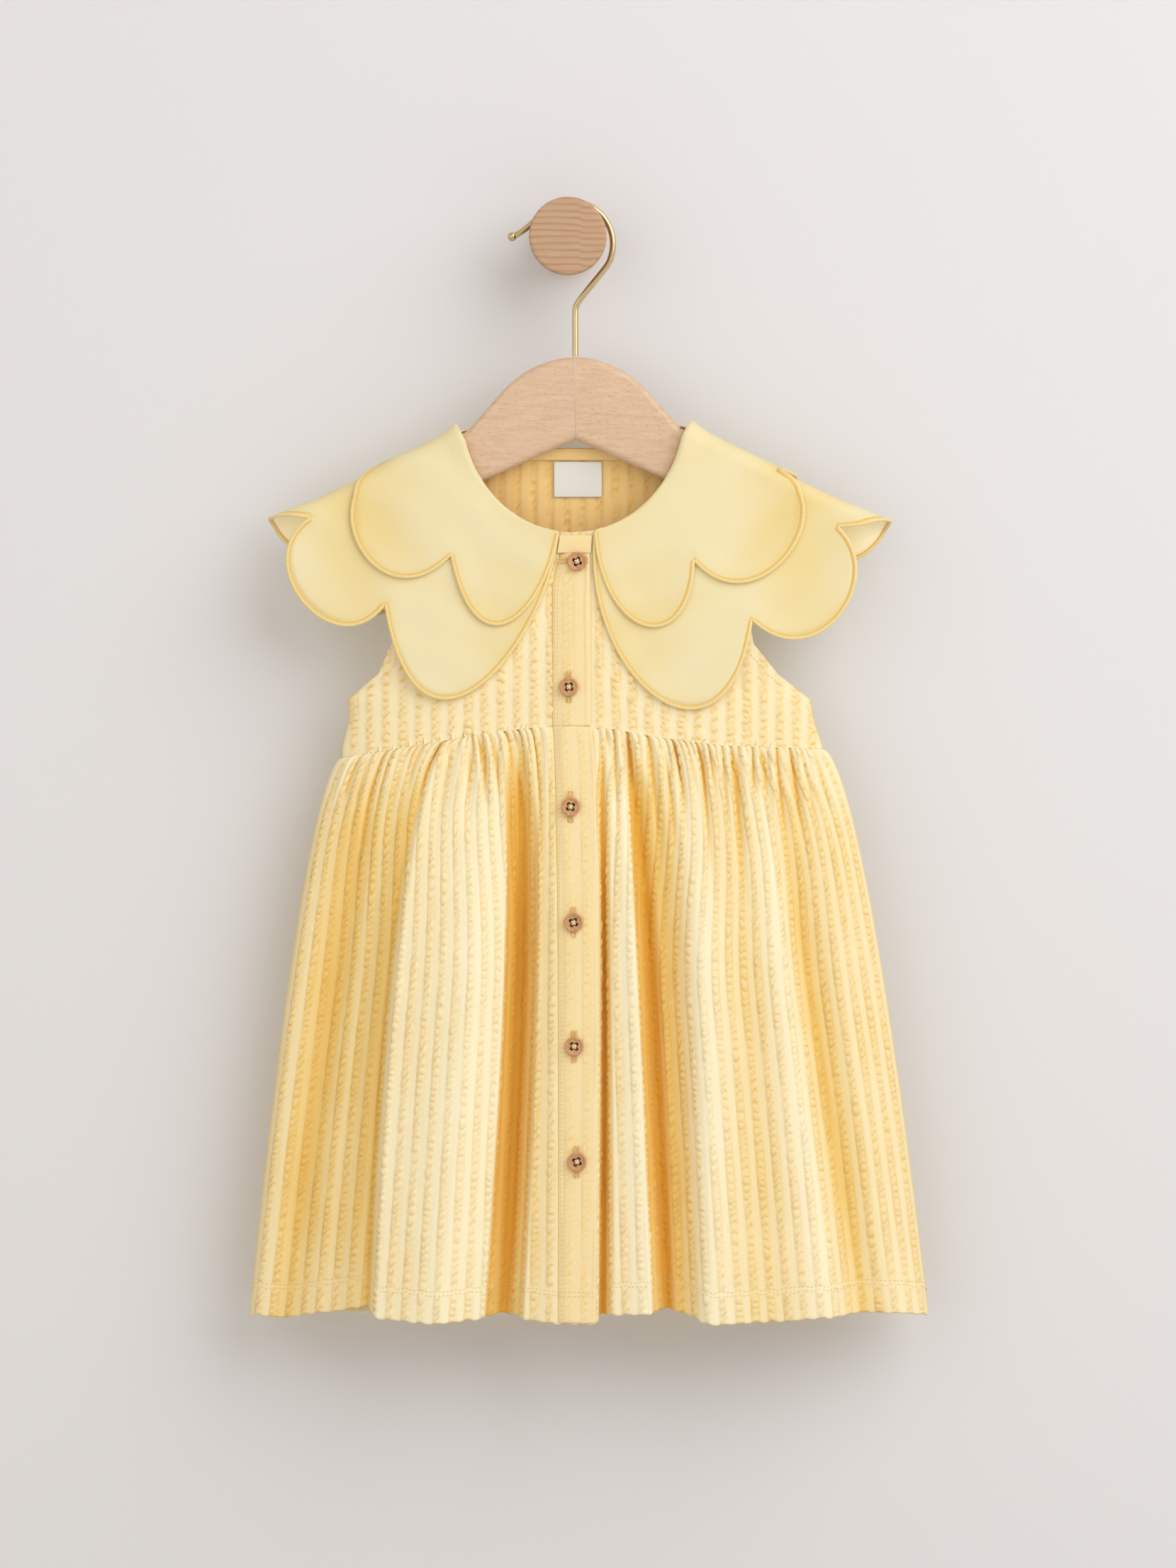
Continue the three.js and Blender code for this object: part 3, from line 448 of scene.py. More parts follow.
def over_shoulder(side, place, lift):
    """Pattern place laid over the shoulder: a turn of radius lift at the ridge, then a splayed fall."""
    along, fold = place[..., 0], place[..., 1]
    face = np.where(fold >= 0, FRONT, BACK)
    turn = np.minimum(np.abs(fold) / FOLD, np.pi / 2)
    drop = np.maximum(np.abs(fold) - QUARTER, 0)
    rise = lift * np.cos(turn) - drop
    depth = lift * np.sin(turn) + SPLAY * drop
    x = APEX_X + side * (along * COS + rise * SIN)
    return np.stack([x, HANG_Y + face * depth, APEX_Z - along * SIN + rise * COS], axis=-1)


print("waist is", WAIST_RIGHT - WAIST_LEFT, "mm across")
print("ridge falls", round(float(np.degrees(SLOPE))), "degrees")

# %% [markdown]
# ## Seersucker puckers
# Seersucker is woven with some stripes tight and some slack, so the slack ones crinkle across like a ladder.
# A bump map could fake that, but the crinkles catch side light and roughen the outline, so they are real
# relief. Each stripe gets its own seeded phases, so no two ladders match.

# %% Seersucker relief
PUCKER_SHARE = 0.52
CRINKLE = 4.5
STRIPE = 9.5
GROUND_TINT = 0.1
STRIPE_SEEDS = 97
stripe_phase = rng.uniform(0, 2 * np.pi, (4, STRIPE_SEEDS))
stripe_tilt = rng.uniform(0.1, 1.1, STRIPE_SEEDS)


print("seeded stripes:", STRIPE_SEEDS)

# %% Pucker shapes
def scatter(first, second):
    """A fixed but disorderly number from 0 to 1 for each pair of whole numbers."""
    wild = np.sin(first * 12.9898 + second * 78.233) * 43758.5453
    return wild - np.floor(wild)


def seersucker(stripes, down, strength=1.0):
    """Height in millimetres and share of painted shade. A window picks the slack stripes. Inside it round
    bulges, each with its own height, meet in sharp slanting creases. Thin grooves mark the two edges of the
    stripe. Creases, grooves and the puckered stripe get painted shade."""
    number = np.floor(stripes).astype(int) % STRIPE_SEEDS
    share = (stripes - np.floor(stripes)) / PUCKER_SHARE
    window = eased(share / 0.2) * eased((1 - share) / 0.2)
    first, second, third, fourth = (stripe_phase[k][number] for k in range(4))
    wander = 0.45 * np.sin(down / 13 + second) + 0.26 * np.sin(down / 5.2 + third)
    slant = stripe_tilt[number] * (share - 0.5) + 0.14 * np.sin(2 * np.pi * share + down / 6 + fourth)
    rung = down / CRINKLE + first + wander + slant
    lively = 0.3 + 0.7 * scatter(np.floor(rung), number)
    bulge = np.abs(np.sin(np.pi * rung))
    edge = np.exp(-(share / 0.09) ** 2) + np.exp(-((share - 1) / 0.09) ** 2)
    edge = edge * (0.6 + 0.4 * np.sin(down / 17 + second))
    height = window * (1.1 * lively * bulge ** 0.8 - 0.12) - 0.3 * edge
    # Painted shade: darker where the bulges meet, along the edge grooves, and a little over the puckered
    # stripe.
    tint_and_painted_shade = window * (0.2 + (0.45 + 0.55 * lively) * np.exp(-(bulge / 0.36) ** 2)) + 0.6 * edge
    return strength * height, np.clip(strength * tint_and_painted_shade, 0, 1)


def puckered(grid, facing, stripes, down, strength=1.0):
    """The grid moved along its own normals by the seersucker relief, and the share of painted shade at each
    point.
    """
    height, tint_and_painted_shade = seersucker(stripes, down, strength)
    return grid + grid_normals(grid, facing) * height[..., None], tint_and_painted_shade


print("a stripe is", STRIPE, "mm,", PUCKER_SHARE, "of it puckered")

# %% [markdown]
# ## The gathered skirt
# The skirt is a straight length of cloth drawn up at the waist seam. Small gathers start at the seam and run
# together into a few large folds at the hem. A short table gives the large folds, and a cosine gives the
# gathers. The stripes must follow the grain, so columns are spaced evenly along the cloth. Each fold row also
# says how much shade is painted into the cloth's colour there, below nought a painted highlight on a ridge,
# because soft studio light alone leaves wide valleys too pale. Points that lie behind their neighbours get
# more painted shade, and points that stand in front a painted highlight.

# %% Fold tables
# across at the seam, a quarter down and at the hem, how far proud, height of the hem, how deep the painted
# shade
FRONT_FOLDS = [
    (-131.6, -155.0, -184.9, 0, -624.4, 0.16), (-106.2, -126.7, -164.4, -13, -625.7, 0.50),
    (-88.6, -111.9, -141.9, -7, -622.4, 0.28), (-74.5, -98.5, -116.5, -1, -618.7, 0.50),
    (-66.5, -91.5, -109.5, 8, -625.3, 0.0), (-54.5, -54.0, -76.3, 12, -627.7, -0.1),
    (-43.0, -36.5, -49.5, 5, -625.4, -0.1), (-40.5, -34.0, -46.5, -3, -624.0, 0.85),
    (-33.0, -26.0, -37.0, -11, -622.4, 0.80), (-26.0, -19.5, -29.0, -4, -623.4, 0.45),
    (-22.5, -16.0, -25.0, 5, -625.7, 0.28), (-9.0, -6.2, -5.7, 8, -627.7, 0.10),
    (13.5, 17.2, 16.0, 8, -628.1, 0.10), (17.0, 20.2, 19.4, -3, -622.8, 0.60),
    (21.5, 25.2, 27.5, 6, -622.8, 0.0), (31.0, 36.8, 48.0, 9, -622.4, -0.05),
    (32.8, 39.0, 50.6, 1, -620.8, 0.85), (37.5, 44.6, 57.4, -10, -619.5, 0.85),
    (44.0, 52.0, 64.0, -4, -622.0, 0.45), (63.1, 75.4, 83.6, 9, -628.5, -0.08),
    (93.9, 100.0, 118.5, 5, -626.9, 0.16), (110.3, 118.5, 149.2, 8, -624.8, -0.08),
    (123.6, 132.6, 172.6, -4, -622.0, 0.30), (135.7, 152.1, 191.5, 3, -622.8, 0.14),
    (148.4, 175.0, 209.5, 0, -624.4, 0.08),
]
BACK_FOLDS = [
    (-131.6, -155.0, -184.9, 0, -624.4, 0.10), (-107.0, -124.0, -150.0, -3, -622.5, 0.40),
    (-84.0, -95.0, -112.0, 6, -625.5, 0.0), (-62.0, -70.0, -84.0, -6, -621.0, 0.65),
    (-38.0, -40.0, -46.0, 7, -626.5, 0.0), (-12.0, -13.0, -16.0, -7, -621.5, 0.75),
    (16.0, 19.0, 21.0, 8, -626.5, 0.0), (44.0, 50.0, 60.0, -5, -622.0, 0.55),
    (68.0, 79.0, 93.0, 7, -625.5, 0.0), (94.0, 107.0, 128.0, -6, -621.5, 0.65),
    (122.0, 141.0, 168.0, 4, -624.5, 0.05), (148.4, 175.0, 209.5, 0, -624.4, 0.10),
]
PLACKET_LEFT, PLACKET_RIGHT = -9.0, 13.5
QUARTER_AT, SPREAD = 0.446, 0.6
HEM_DEPTH = {FRONT: 28.0, BACK: 20.0}
GATHER_SPACING, GATHER_SEAM, GATHER_HIGH = 7.8, 1.0, 1.7
GATHER_PEAK, GATHER_FADE = 0.05, 0.22


print("fold rows in front:", len(FRONT_FOLDS), "behind:", len(BACK_FOLDS))

# %% Fold paths
def fold_line(rows, seam_x, w):
    """Across, proud, hem height and shade of the cloth line that starts at seam_x. A parabola through seam,
    quarter and hem gives each fold's path. Between folds the place is straight and the rest is eased."""
    table = np.array(rows, dtype=float)
    k = np.clip(np.searchsorted(table[:, 0], seam_x), 1, len(table) - 1)
    share = np.clip((seam_x - table[k - 1, 0]) / (table[k, 0] - table[k - 1, 0]), 0, 1)
    q = QUARTER_AT
    at_seam, at_quarter = (w - q) * (w - 1) / q, w * (w - 1) / (q * (q - 1))
    at_hem = w * (w - q) / (1 - q)

    def across(j):
        return table[j, 0] * at_seam + table[j, 1] * at_quarter + table[j, 2] * at_hem

    x = between(across(k - 1), across(k), share)
    proud, hem_z, shade = (between(table[k - 1, j], table[k, j], eased(share)) for j in (3, 4, 5))
    return x, proud, hem_z, shade


print("a fold is read a quarter down at level", QUARTER_AT)

# %% Gathers
def gather_height(seam_x, level, face):
    """Round crests and sharp valleys along the seam with uneven spacing. They grow just below the seam and
    run out lower down, some soon and some late. Finer gathers lie between them close to the seam."""
    uneven = 1.5 * np.sin(seam_x / 9.7 + face) + 1.1 * np.sin(seam_x / 23 + 2) + 0.6 * np.sin(seam_x / 4.3)
    turn = 2 * np.pi * seam_x / GATHER_SPACING + uneven
    wave = between(np.cos(turn), 2 * np.abs(np.cos(turn / 2)) - 1, 0.6)
    late = GATHER_FADE * (0.75 + 0.35 * np.sin(seam_x / 6.1 + face) + 0.25 * np.sin(seam_x / 3.7 + 1))
    grow = between(GATHER_SEAM, GATHER_HIGH, eased(level / GATHER_PEAK))
    fade = 1 - eased((level - GATHER_PEAK) / np.maximum(late - GATHER_PEAK, 0.05))
    strong = 0.75 + 0.25 * np.sin(seam_x / 13 + 1.3 * face)
    small = np.abs(np.cos(turn * 0.93 + 0.7 * np.sin(seam_x / 5 + face))) - 0.5
    short = 1 - eased(level / (0.085 + 0.05 * np.sin(seam_x / 4.3)))
    return wave * grow * fade * strong + 2.2 * small * short


# place at the seam, half width, depth, level where it has run out
DEEP_GATHERS = [
    (-118, 2.4, 2.2, 0.14), (-104, 2.6, 3.8, 0.30), (-84, 2.0, 2.0, 0.12), (-70, 2.2, 2.6, 0.20),
    (-52, 1.8, 2.2, 0.10), (-33, 3.4, 4.0, 0.50), (-19, 2.0, 2.4, 0.16), (22, 2.0, 2.2, 0.15),
    (34, 3.2, 4.2, 0.50), (59, 2.2, 2.8, 0.22), (74, 2.4, 3.2, 0.34), (95, 2.6, 3.6, 0.33),
    (112, 2.0, 2.4, 0.16), (129, 2.2, 2.8, 0.24),
]


def deep_gathers(seam_x, level):
    """Single deep creases from the table: a bell shape across, strongest below the seam, then running out."""
    total = np.zeros(np.broadcast(seam_x, level).shape)
    for place, half, depth, run in DEEP_GATHERS:
        bell = depth * np.exp(-((seam_x - place) / half) ** 2)
        total = total - bell * (1 - eased(level / run)) * eased(level / 0.03 + 0.3)
    return total


print("deep gathers:", len(DEEP_GATHERS))

# %% Skirt surface
def skirt_form(face, seam_x, level, stand=0.0):
    """Points of the skirt at seam places and levels (0 at the waist, 1 at the hem), without puckers."""
    rows = FRONT_FOLDS if face == FRONT else BACK_FOLDS
    seam_x, level = np.broadcast_arrays(seam_x, level)
    w = level ** SPREAD
    x, proud, hem_z, _ = fold_line(rows, seam_x, w)
    left = fold_line(rows, np.full_like(w, WAIST_LEFT), w)[0]
    right = fold_line(rows, np.full_like(w, WAIST_RIGHT), w)[0]
    lens = np.sqrt(1 - np.clip(np.abs((2 * x - left - right) / (right - left)), 0, 1) ** 4)
    seam_z = waist_z(seam_x)
    body = between(shoulder_depth(seam_x, seam_z, BODICE_LIFT), HEM_DEPTH[face], level ** 0.8)
    off = np.maximum(np.maximum(PLACKET_LEFT - seam_x, seam_x - PLACKET_RIGHT), 0)
    flat = eased(off / 6) if face == FRONT else 1.0
    gathers = gather_height(seam_x, level, face) + deep_gathers(seam_x * -face, level)
    depth = lens * (body + proud * eased(level / 0.45) + flat * gathers) + stand
    return np.stack([x, HANG_Y + face * (depth + GAP / 2), between(seam_z, hem_z, level)], axis=-1)


def even_columns(dense, count):
    """Each row of a dense grid respaced so that its columns lie evenly along the cloth."""
    steps = np.linalg.norm(np.diff(dense[..., :2], axis=1), axis=2)
    run = np.concatenate([np.zeros((len(dense), 1)), np.cumsum(steps, axis=1)], axis=1)
    share = np.linspace(0, 1, count)
    rows = [
        np.stack([np.interp(share * r[-1], r, line[:, k]) for k in range(3)], axis=-1)
        for r, line in zip(run, dense)
    ]
    return np.array(rows), run[-1, -1]


def valley_share(grid, reach, full):
    """How far each point lies behind the mean of its row within reach columns, as a share of full, in
    millimetres. A negative full asks how far it stands in front."""
    depth = np.abs(grid[..., 1] - HANG_Y)
    weight = np.hanning(2 * reach + 1)
    padded = np.pad(depth, ((0, 0), (reach, reach)), "edge")
    mean = np.array([np.convolve(row, weight / weight.sum(), "valid") for row in padded])
    return eased((mean - depth) / full)


HEM_TURN, HEM_STITCH = 14.0, 17.0
DENSE_COLUMNS = 1500
# how far up and how far in the cloth goes inside the waist seam, then how far up and in at the turned hem
SEAM_TUCK = ((2.2, 2.0), (0.9, 1.4), (0.3, 0.5))
HEM_TUCK = ((-0.6, 0.6), (0.3, 1.3), (2.5, 1.3), (HEM_TURN, 1.3))


print("hem is turned up", HEM_TURN, "mm and sewn at", HEM_STITCH, "mm")

# %% Skirt panels
def skirt_panel(name, face, seam_from, seam_to, per_stripe, rows):
    """A skirt panel: the form, respaced along the grain, puckered, tucked in at the seam, turned up below."""
    level = np.linspace(0, 1, rows)[:, None]
    seam_x = np.linspace(seam_from, seam_to, DENSE_COLUMNS)[None, :]
    dense = skirt_form(face, seam_x, level)
    hem_width = even_columns(dense[-1:], 2)[1]
    stripes = max(round(hem_width / STRIPE), 1)
    base, _ = even_columns(dense, stripes * per_stripe + 1)
    folds = FRONT_FOLDS if face == FRONT else BACK_FOLDS
    # Painted shade from the fold rows, respaced with the columns.
    tinted = fold_line(folds, seam_x, level ** SPREAD)[3]
    tinted = np.broadcast_to(tinted, dense.shape[:2])[..., None]
    fold_shade, _ = even_columns(np.concatenate([dense[..., :2], tinted], axis=-1), base.shape[1])
    facing = np.array([0, face, 0.0])
    stripe = np.broadcast_to(np.linspace(0, stripes, base.shape[1]) + 0.2, base.shape[:2])
    down = np.broadcast_to(level * (base[0, :, 2] - base[-1, :, 2]).mean(), stripe.shape)
    above_hem = down.max() - down
    from_seam = np.minimum(stripe - stripe.min(), stripe.max() - stripe) * STRIPE
    sewn_flat = 1 - 0.7 * np.exp(-((above_hem - HEM_STITCH) / 2.0) ** 2)
    strength = eased(down / 6) * sewn_flat * eased(from_seam / 6)
    grid, tint_and_painted_shade = puckered(base, facing, stripe, down, strength)
    ripple = np.cos(2 * np.pi * (stripe - 0.76)) * (0.5 + 0.3 * np.sin(1.7 * stripe))
    grid[..., 2] -= 0.8 * ripple * np.exp(-above_hem / 9)
    # Painted shade: the fold rows' shade grows below the seam and fades near the hem. Points behind the mean
    # of their neighbours, in wide folds and narrow gathers, are tinted darker, and points in front lighter, a
    # painted highlight.
    fold_shade = fold_shade[..., 2] * eased(level / 0.16) * (1 - 0.35 * eased((level - 0.72) / 0.28))
    slow = 0.25 * valley_share(base, 4 * per_stripe, 8.0) - 0.2 * valley_share(base, 4 * per_stripe, -6.0)
    sharp = 0.75 * valley_share(base, per_stripe, 2.0)
    tint_and_painted_shade = np.clip(GROUND_TINT + 0.45 * tint_and_painted_shade + 0.8 * fold_shade + slow + sharp, 0, 1)
    normals = grid_normals(base, facing)
    rise = np.array([0, 0, 1.0])
    tuck = [grid[0] + up * rise - normals[0] * back for up, back in SEAM_TUCK]
    turned = [grid[-1] + up * rise - normals[-1] * back for up, back in HEM_TUCK]
    whole = np.concatenate([tuck, grid, turned])
    tint_and_painted_shade = np.pad(tint_and_painted_shade, ((len(tuck), len(turned)), (0, 0)), "edge")
    piece = cloth_sheet(f"{name}_cloth", whole, facing, SEERSUCKER, tint_and_painted_shade)
    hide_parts(name)
    print(name, "hem runs", round(hem_width), "mm along the cloth,", stripes, "stripes", whole.shape)
    return piece, grid, hem_width


skirt_left, skirt_left_form, hem_left = skirt_panel(
    "skirt_front_left", FRONT, WAIST_LEFT, CENTRE_FRONT - GAP, 11, 304)
skirt_right, skirt_right_form, hem_right = skirt_panel(
    "skirt_front_right", FRONT, CENTRE_FRONT, WAIST_RIGHT, 10, 304)
skirt_back, skirt_back_form, hem_back = skirt_panel(
    "skirt_back", BACK, WAIST_LEFT, WAIST_RIGHT, 7, 220)

# %% [markdown]
# ## Bodice
# Each front is ruled from the armhole and side seam on the outside to the neckline and the centre front on
# the inside, after a few rows that turn over the shoulder. The stripes stay upright, so they are counted from
# the place across and not from the columns. Solidify gives the cloth its inner face and its cut edges.

# %% Necklines
FALL_FROM, NECK_SHARE, SEAM_GAP = 0.005, 0.44, 0.1
SINK, FIRST_STRIPE, DOWN_STRETCH = 0.45, 40.35, 1.02
OVER_FOLD = np.linspace(0.05, 1, 7)[:, None]


def neck_point(side, angle):
    return NECK_X + side * NECK_HALF * np.cos(angle), NECK_Z - NECK_DROP * np.sin(angle)


def neck_start(side):
    """Angle at which the front neckline leaves the flat of the shoulder, found by repeated substitution."""
    angle = 0.25
    for _ in range(6):
        angle = np.arcsin((NECK_Z - ridge_z(neck_point(side, angle)[0], 0)) / NECK_DROP)
    return angle


def back_neck_z(x):
    """The back neckline: low in the middle, easing up to the ridge by the fifth power of the place across."""
    across = np.clip(np.abs(x - NECK_X) / NECK_HALF, 0, 1)
    return between(NECK_BACK, ridge_z(x, BODICE_LIFT), eased(across ** 5))


print("front neck is", 2 * NECK_HALF, "mm across and", NECK_DROP, "mm deep")

# %% Bodice grids
def front_grid(side, centre, rows, columns):
    """Points of a front: rows over the shoulder, then rows ruled from the side edge to the inner edge."""
    edge = 1 if side < 0 else 2
    shoulder_x, waist_x = SIDE_ROWS[0][edge], WAIST_ROWS[0 if side < 0 else -1][0]
    shoulder_z, side_low = ridge_z(shoulder_x, 0), waist_z(waist_x) + SEAM_GAP
    start = neck_start(side)
    lowest = np.pi / 2 - np.arcsin(side * (centre - NECK_X) / NECK_HALF)
    share = np.linspace(0, 1, columns)[None, :]
    ends = [pattern_place(side, *place, FRONT)[0]
            for place in ((shoulder_x, shoulder_z), neck_point(side, start))]
    place = np.stack(np.broadcast_arrays(between(ends[0], ends[1], share), OVER_FOLD * QUARTER), axis=-1)
    top = over_shoulder(side, place, BODICE_LIFT)
    fall = 1 - (1 - FALL_FROM) * np.linspace(1, 0, rows)[:, None] ** 1.25
    side_z = between(shoulder_z, side_low, fall)
    side_x = flank(side_z, edge)
    inner_x, inner_z = neck_point(side, between(start, lowest, np.minimum(fall / NECK_SHARE, 1)))
    fallen = np.maximum((fall - NECK_SHARE) / (1 - NECK_SHARE), 0)
    x = between(side_x, np.where(fall < NECK_SHARE, inner_x, centre), share)
    foot = waist_z(centre) + SEAM_GAP
    ruled = between(side_z, between(inner_z, foot, fallen), share)
    straight = between(side_low, foot, share)
    z = ruled + (waist_z(x) + SEAM_GAP - straight) * fall ** 8
    return np.concatenate([top, on_bodice(FRONT, x, z)])


def back_grid(rows, columns):
    """Points of the back: each column keeps its share of the width from shoulder or neckline to the waist."""
    share = np.linspace(0, 1, columns)[None, :]
    top = between(SIDE_ROWS[0][1], SIDE_ROWS[0][2], share)
    lowered = BODICE_LIFT * (1 - np.cos(OVER_FOLD * np.pi / 2)) / COS
    on_neck = np.abs(top - NECK_X) < NECK_HALF
    fold_z = np.where(on_neck, back_neck_z(top), ridge_z(top, BODICE_LIFT)) - lowered
    fold = on_bodice(BACK, np.broadcast_to(top, fold_z.shape), fold_z)
    fall = np.linspace(FALL_FROM, 1, rows)[:, None]
    waist_x = between(WAIST_LEFT, WAIST_RIGHT, share)
    z = between(fold_z[-1:], waist_z(waist_x) + SEAM_GAP, fall)
    x = between(flank(z, 1), flank(z, 2), share)
    return np.concatenate([fold, on_bodice(BACK, x, z)])


print("fronts and back are ruled")

# %% Bodice panels
def bodice_panel(name, grid, face):
    """Upright stripes on a bodice grid, set a little down into the wall so that the collar clears the crests.
    """
    facing = (0, face, 0)
    height, tint_and_painted_shade = seersucker(grid[..., 0] / STRIPE + FIRST_STRIPE, -grid[..., 2] * DOWN_STRETCH)
    calm = eased((np.abs(grid[..., 1] - HANG_Y) - 2) / 6)
    grid = grid + grid_normals(grid, facing) * ((height - SINK) * calm)[..., None]
    # Painted shade in the puckers, over the ground tint.
    tint_and_painted_shade = GROUND_TINT + 0.55 * tint_and_painted_shade
    piece = cloth_sheet(
        f"{name}_cloth", grid, facing, SEERSUCKER, tint_and_painted_shade, CLOTH * 0.8, PAINTED_SHADE_INSIDE_CLOTH)
    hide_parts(name)
    print(name, grid.shape)
    return piece, grid


bodice_left, bodice_left_form = bodice_panel(
    "bodice_front_left", front_grid(-1, CENTRE_FRONT - GAP, 124, 104), FRONT)
bodice_right, bodice_right_form = bodice_panel(
    "bodice_front_right", front_grid(1, CENTRE_FRONT, 124, 114), FRONT)
bodice_back, bodice_back_form = bodice_panel("bodice_back", back_grid(84, 180), BACK)

# %% [markdown]
# ## Button placket, neck band, tape and label
# These are narrow strips that lie on the dress. Each is a small grid between two edges that change with
# height, moved out from the form below it by the thickness of the cloth. The placket carries its own stripes.

# %% Placket
LAP = CLOTH + GAP + 0.1
PLACKET_STRIPE, PLACKET_COLUMNS = 60.6, 36
# height, left edge, right edge
PLACKET_ROWS = [
    (-183.2, -3.6, 12.6), (-192, -6.6, 12.8), (-202, -9, 13), (-228, -9, 13.2), (-256, -9, 13.4),
    (-283.8, -9, 13.5),
]
BAND_ROWS = [(-173.2, -4.7, 13.9), (-183.6, -6.2, 13.2)]
LABEL_ROWS = [(-130.0, -8.2, 19.7), (-150.6, -8.2, 19.7)]


def strip_grid(rows, across, down):
    """Place across and height between two edges read from a table by height."""
    z = np.linspace(rows[0][0], rows[-1][0], down)[:, None]
    share = np.linspace(0, 1, across)[None, :]
    edges = [np.interp(-z, -column(rows, 0), column(rows, k)) for k in (1, 2)]
    return between(*edges, share), np.broadcast_to(z, (down, across))


def placket_piece(name, grid, down):
    """Soft pressed stripes. The left edge runs down into the front. The right one is a free rolled edge."""
    share = np.linspace(0, 1, grid.shape[1])[None, :]
    width = np.abs(grid[0, -1, 0] - grid[0, 0, 0])
    height, tint_and_painted_shade = seersucker(share * width / STRIPE + PLACKET_STRIPE, down, 0.5)
    left, right = share * width, (1 - share) * width
    rolled = -1.3 * (1 - eased(left / 4.5)) - 0.6 * (1 - np.clip(right / 0.9, 0, 1)) ** 2
    inner = eased((left - 1.5) / 2) * eased((right - 1.0) / 1.5)
    soft = 0.25 * np.sin(down / 23 + 4 * share) + 0.15 * np.sin(down / 9 + 2.5 * share)
    lift = (height - 0.15) * inner + rolled + soft * inner
    # Painted shade: the puckers, and the left edge where the placket dips into the front, are tinted darker.
    tint_and_painted_shade = 0.24 + 0.4 * tint_and_painted_shade * inner + 0.25 * (1 - eased(left / 1.5))
    grid = grid + np.array([0, FRONT, 0.0]) * lift[..., None]
    piece = cloth_sheet(f"{name}_cloth", grid, (0, FRONT, 0), SEERSUCKER, tint_and_painted_shade, CLOTH * 0.7)
    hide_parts(name)
    print(name, grid.shape)
    return piece, grid


x, z = strip_grid(PLACKET_ROWS, PLACKET_COLUMNS, 100)
placket_top, placket_top_form = placket_piece("placket_bodice", on_bodice(FRONT, x, z, LAP), -z)
level = np.linspace(0, 1, 270)[:, None]
across = np.linspace(PLACKET_LEFT, PLACKET_RIGHT, PLACKET_COLUMNS)[None, :]
placket_form = skirt_form(FRONT, across, level, LAP)
# how far up and how far in the placket goes inside the waist seam
PLACKET_TUCK = ((2.0, 1.2), (0.9, 1.0), (0.5, 0.4))
tuck = [placket_form[0] + np.array([0, back, up]) for up, back in PLACKET_TUCK]
placket_form = np.concatenate([tuck, placket_form])
placket_low, placket_low_form = placket_piece("placket_skirt", placket_form, -placket_form[..., 2])


print("placket lies", round(LAP, 2), "mm over the front")

# %% Band, label and tape
def plain_strip(name, face, x, z, stand, material, slot, thick, bow, tint=0.0):
    """A smooth strip, a little fuller in the middle of its height."""
    grid = on_bodice(face, x, z, stand)
    share = np.linspace(-1, 1, grid.shape[0])[:, None]
    grid[..., 1] += face * np.sign(stand) * bow * (1 - share ** 2)
    facing = (0, face * np.sign(stand), 0)
    piece = cloth_sheet(f"{name}_cloth", grid, facing, material, np.full(grid.shape[:2], tint), thick)
    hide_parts(name)
    print(name, grid.shape)
    return piece


neck_band = plain_strip(
    "neck_band", FRONT, *strip_grid(BAND_ROWS, 30, 18), LAP + 0.2, SEERSUCKER, "seersucker", 0.8, 0.3, 0.3)
label = plain_strip(
    "label", BACK, *strip_grid(LABEL_ROWS, 30, 24), -LAP - CLOTH, LABEL_CLOTH, "label_tape", 0.5, 0.3)
# The tape inside the back neck takes that darker copy too: painted shade.
tape_x = np.broadcast_to(np.linspace(-26, 36, 80)[None, :], (10, 80))
tape_z = back_neck_z(tape_x) - np.linspace(0.4, 7.4, 10)[:, None]
neck_tape = plain_strip(
    "neck_tape", BACK, tape_x, tape_z, -LAP - CLOTH, PAINTED_SHADE_INSIDE_CLOTH, "seersucker", 0.6, 0.5)

# %% [markdown]
# ## The double scalloped collar
# A collar half is cut flat and laid over the shoulder, so it is drawn on a flat pattern: one axis runs along
# the shoulder ridge and the other round the fold. Each scallop is a cubic curve between two notches.
# The cloth is ruled from the neck line to that edge, and a narrow stitched edging is swept along it.
# The underside has a finish of its own with a faint constant glow: painted light in place of the light that
# comes through thin cloth.

# %% Collar underside
# Painted light: the underside glows faintly though no lamp is there.
PAINTED_GLOW_COLLAR_INSIDE = cloth_look(
    "collar_inside_painted_glow", (246, 232, 190), (240, 216, 150), (214, 166, 84), 0.22,
    Emission_Color=(1.0, 0.97, 0.8, 1), Emission_Strength=0.15)
print("collar underside made")

# %% Collar patterns
TIER_STEP = CLOTH + GAP
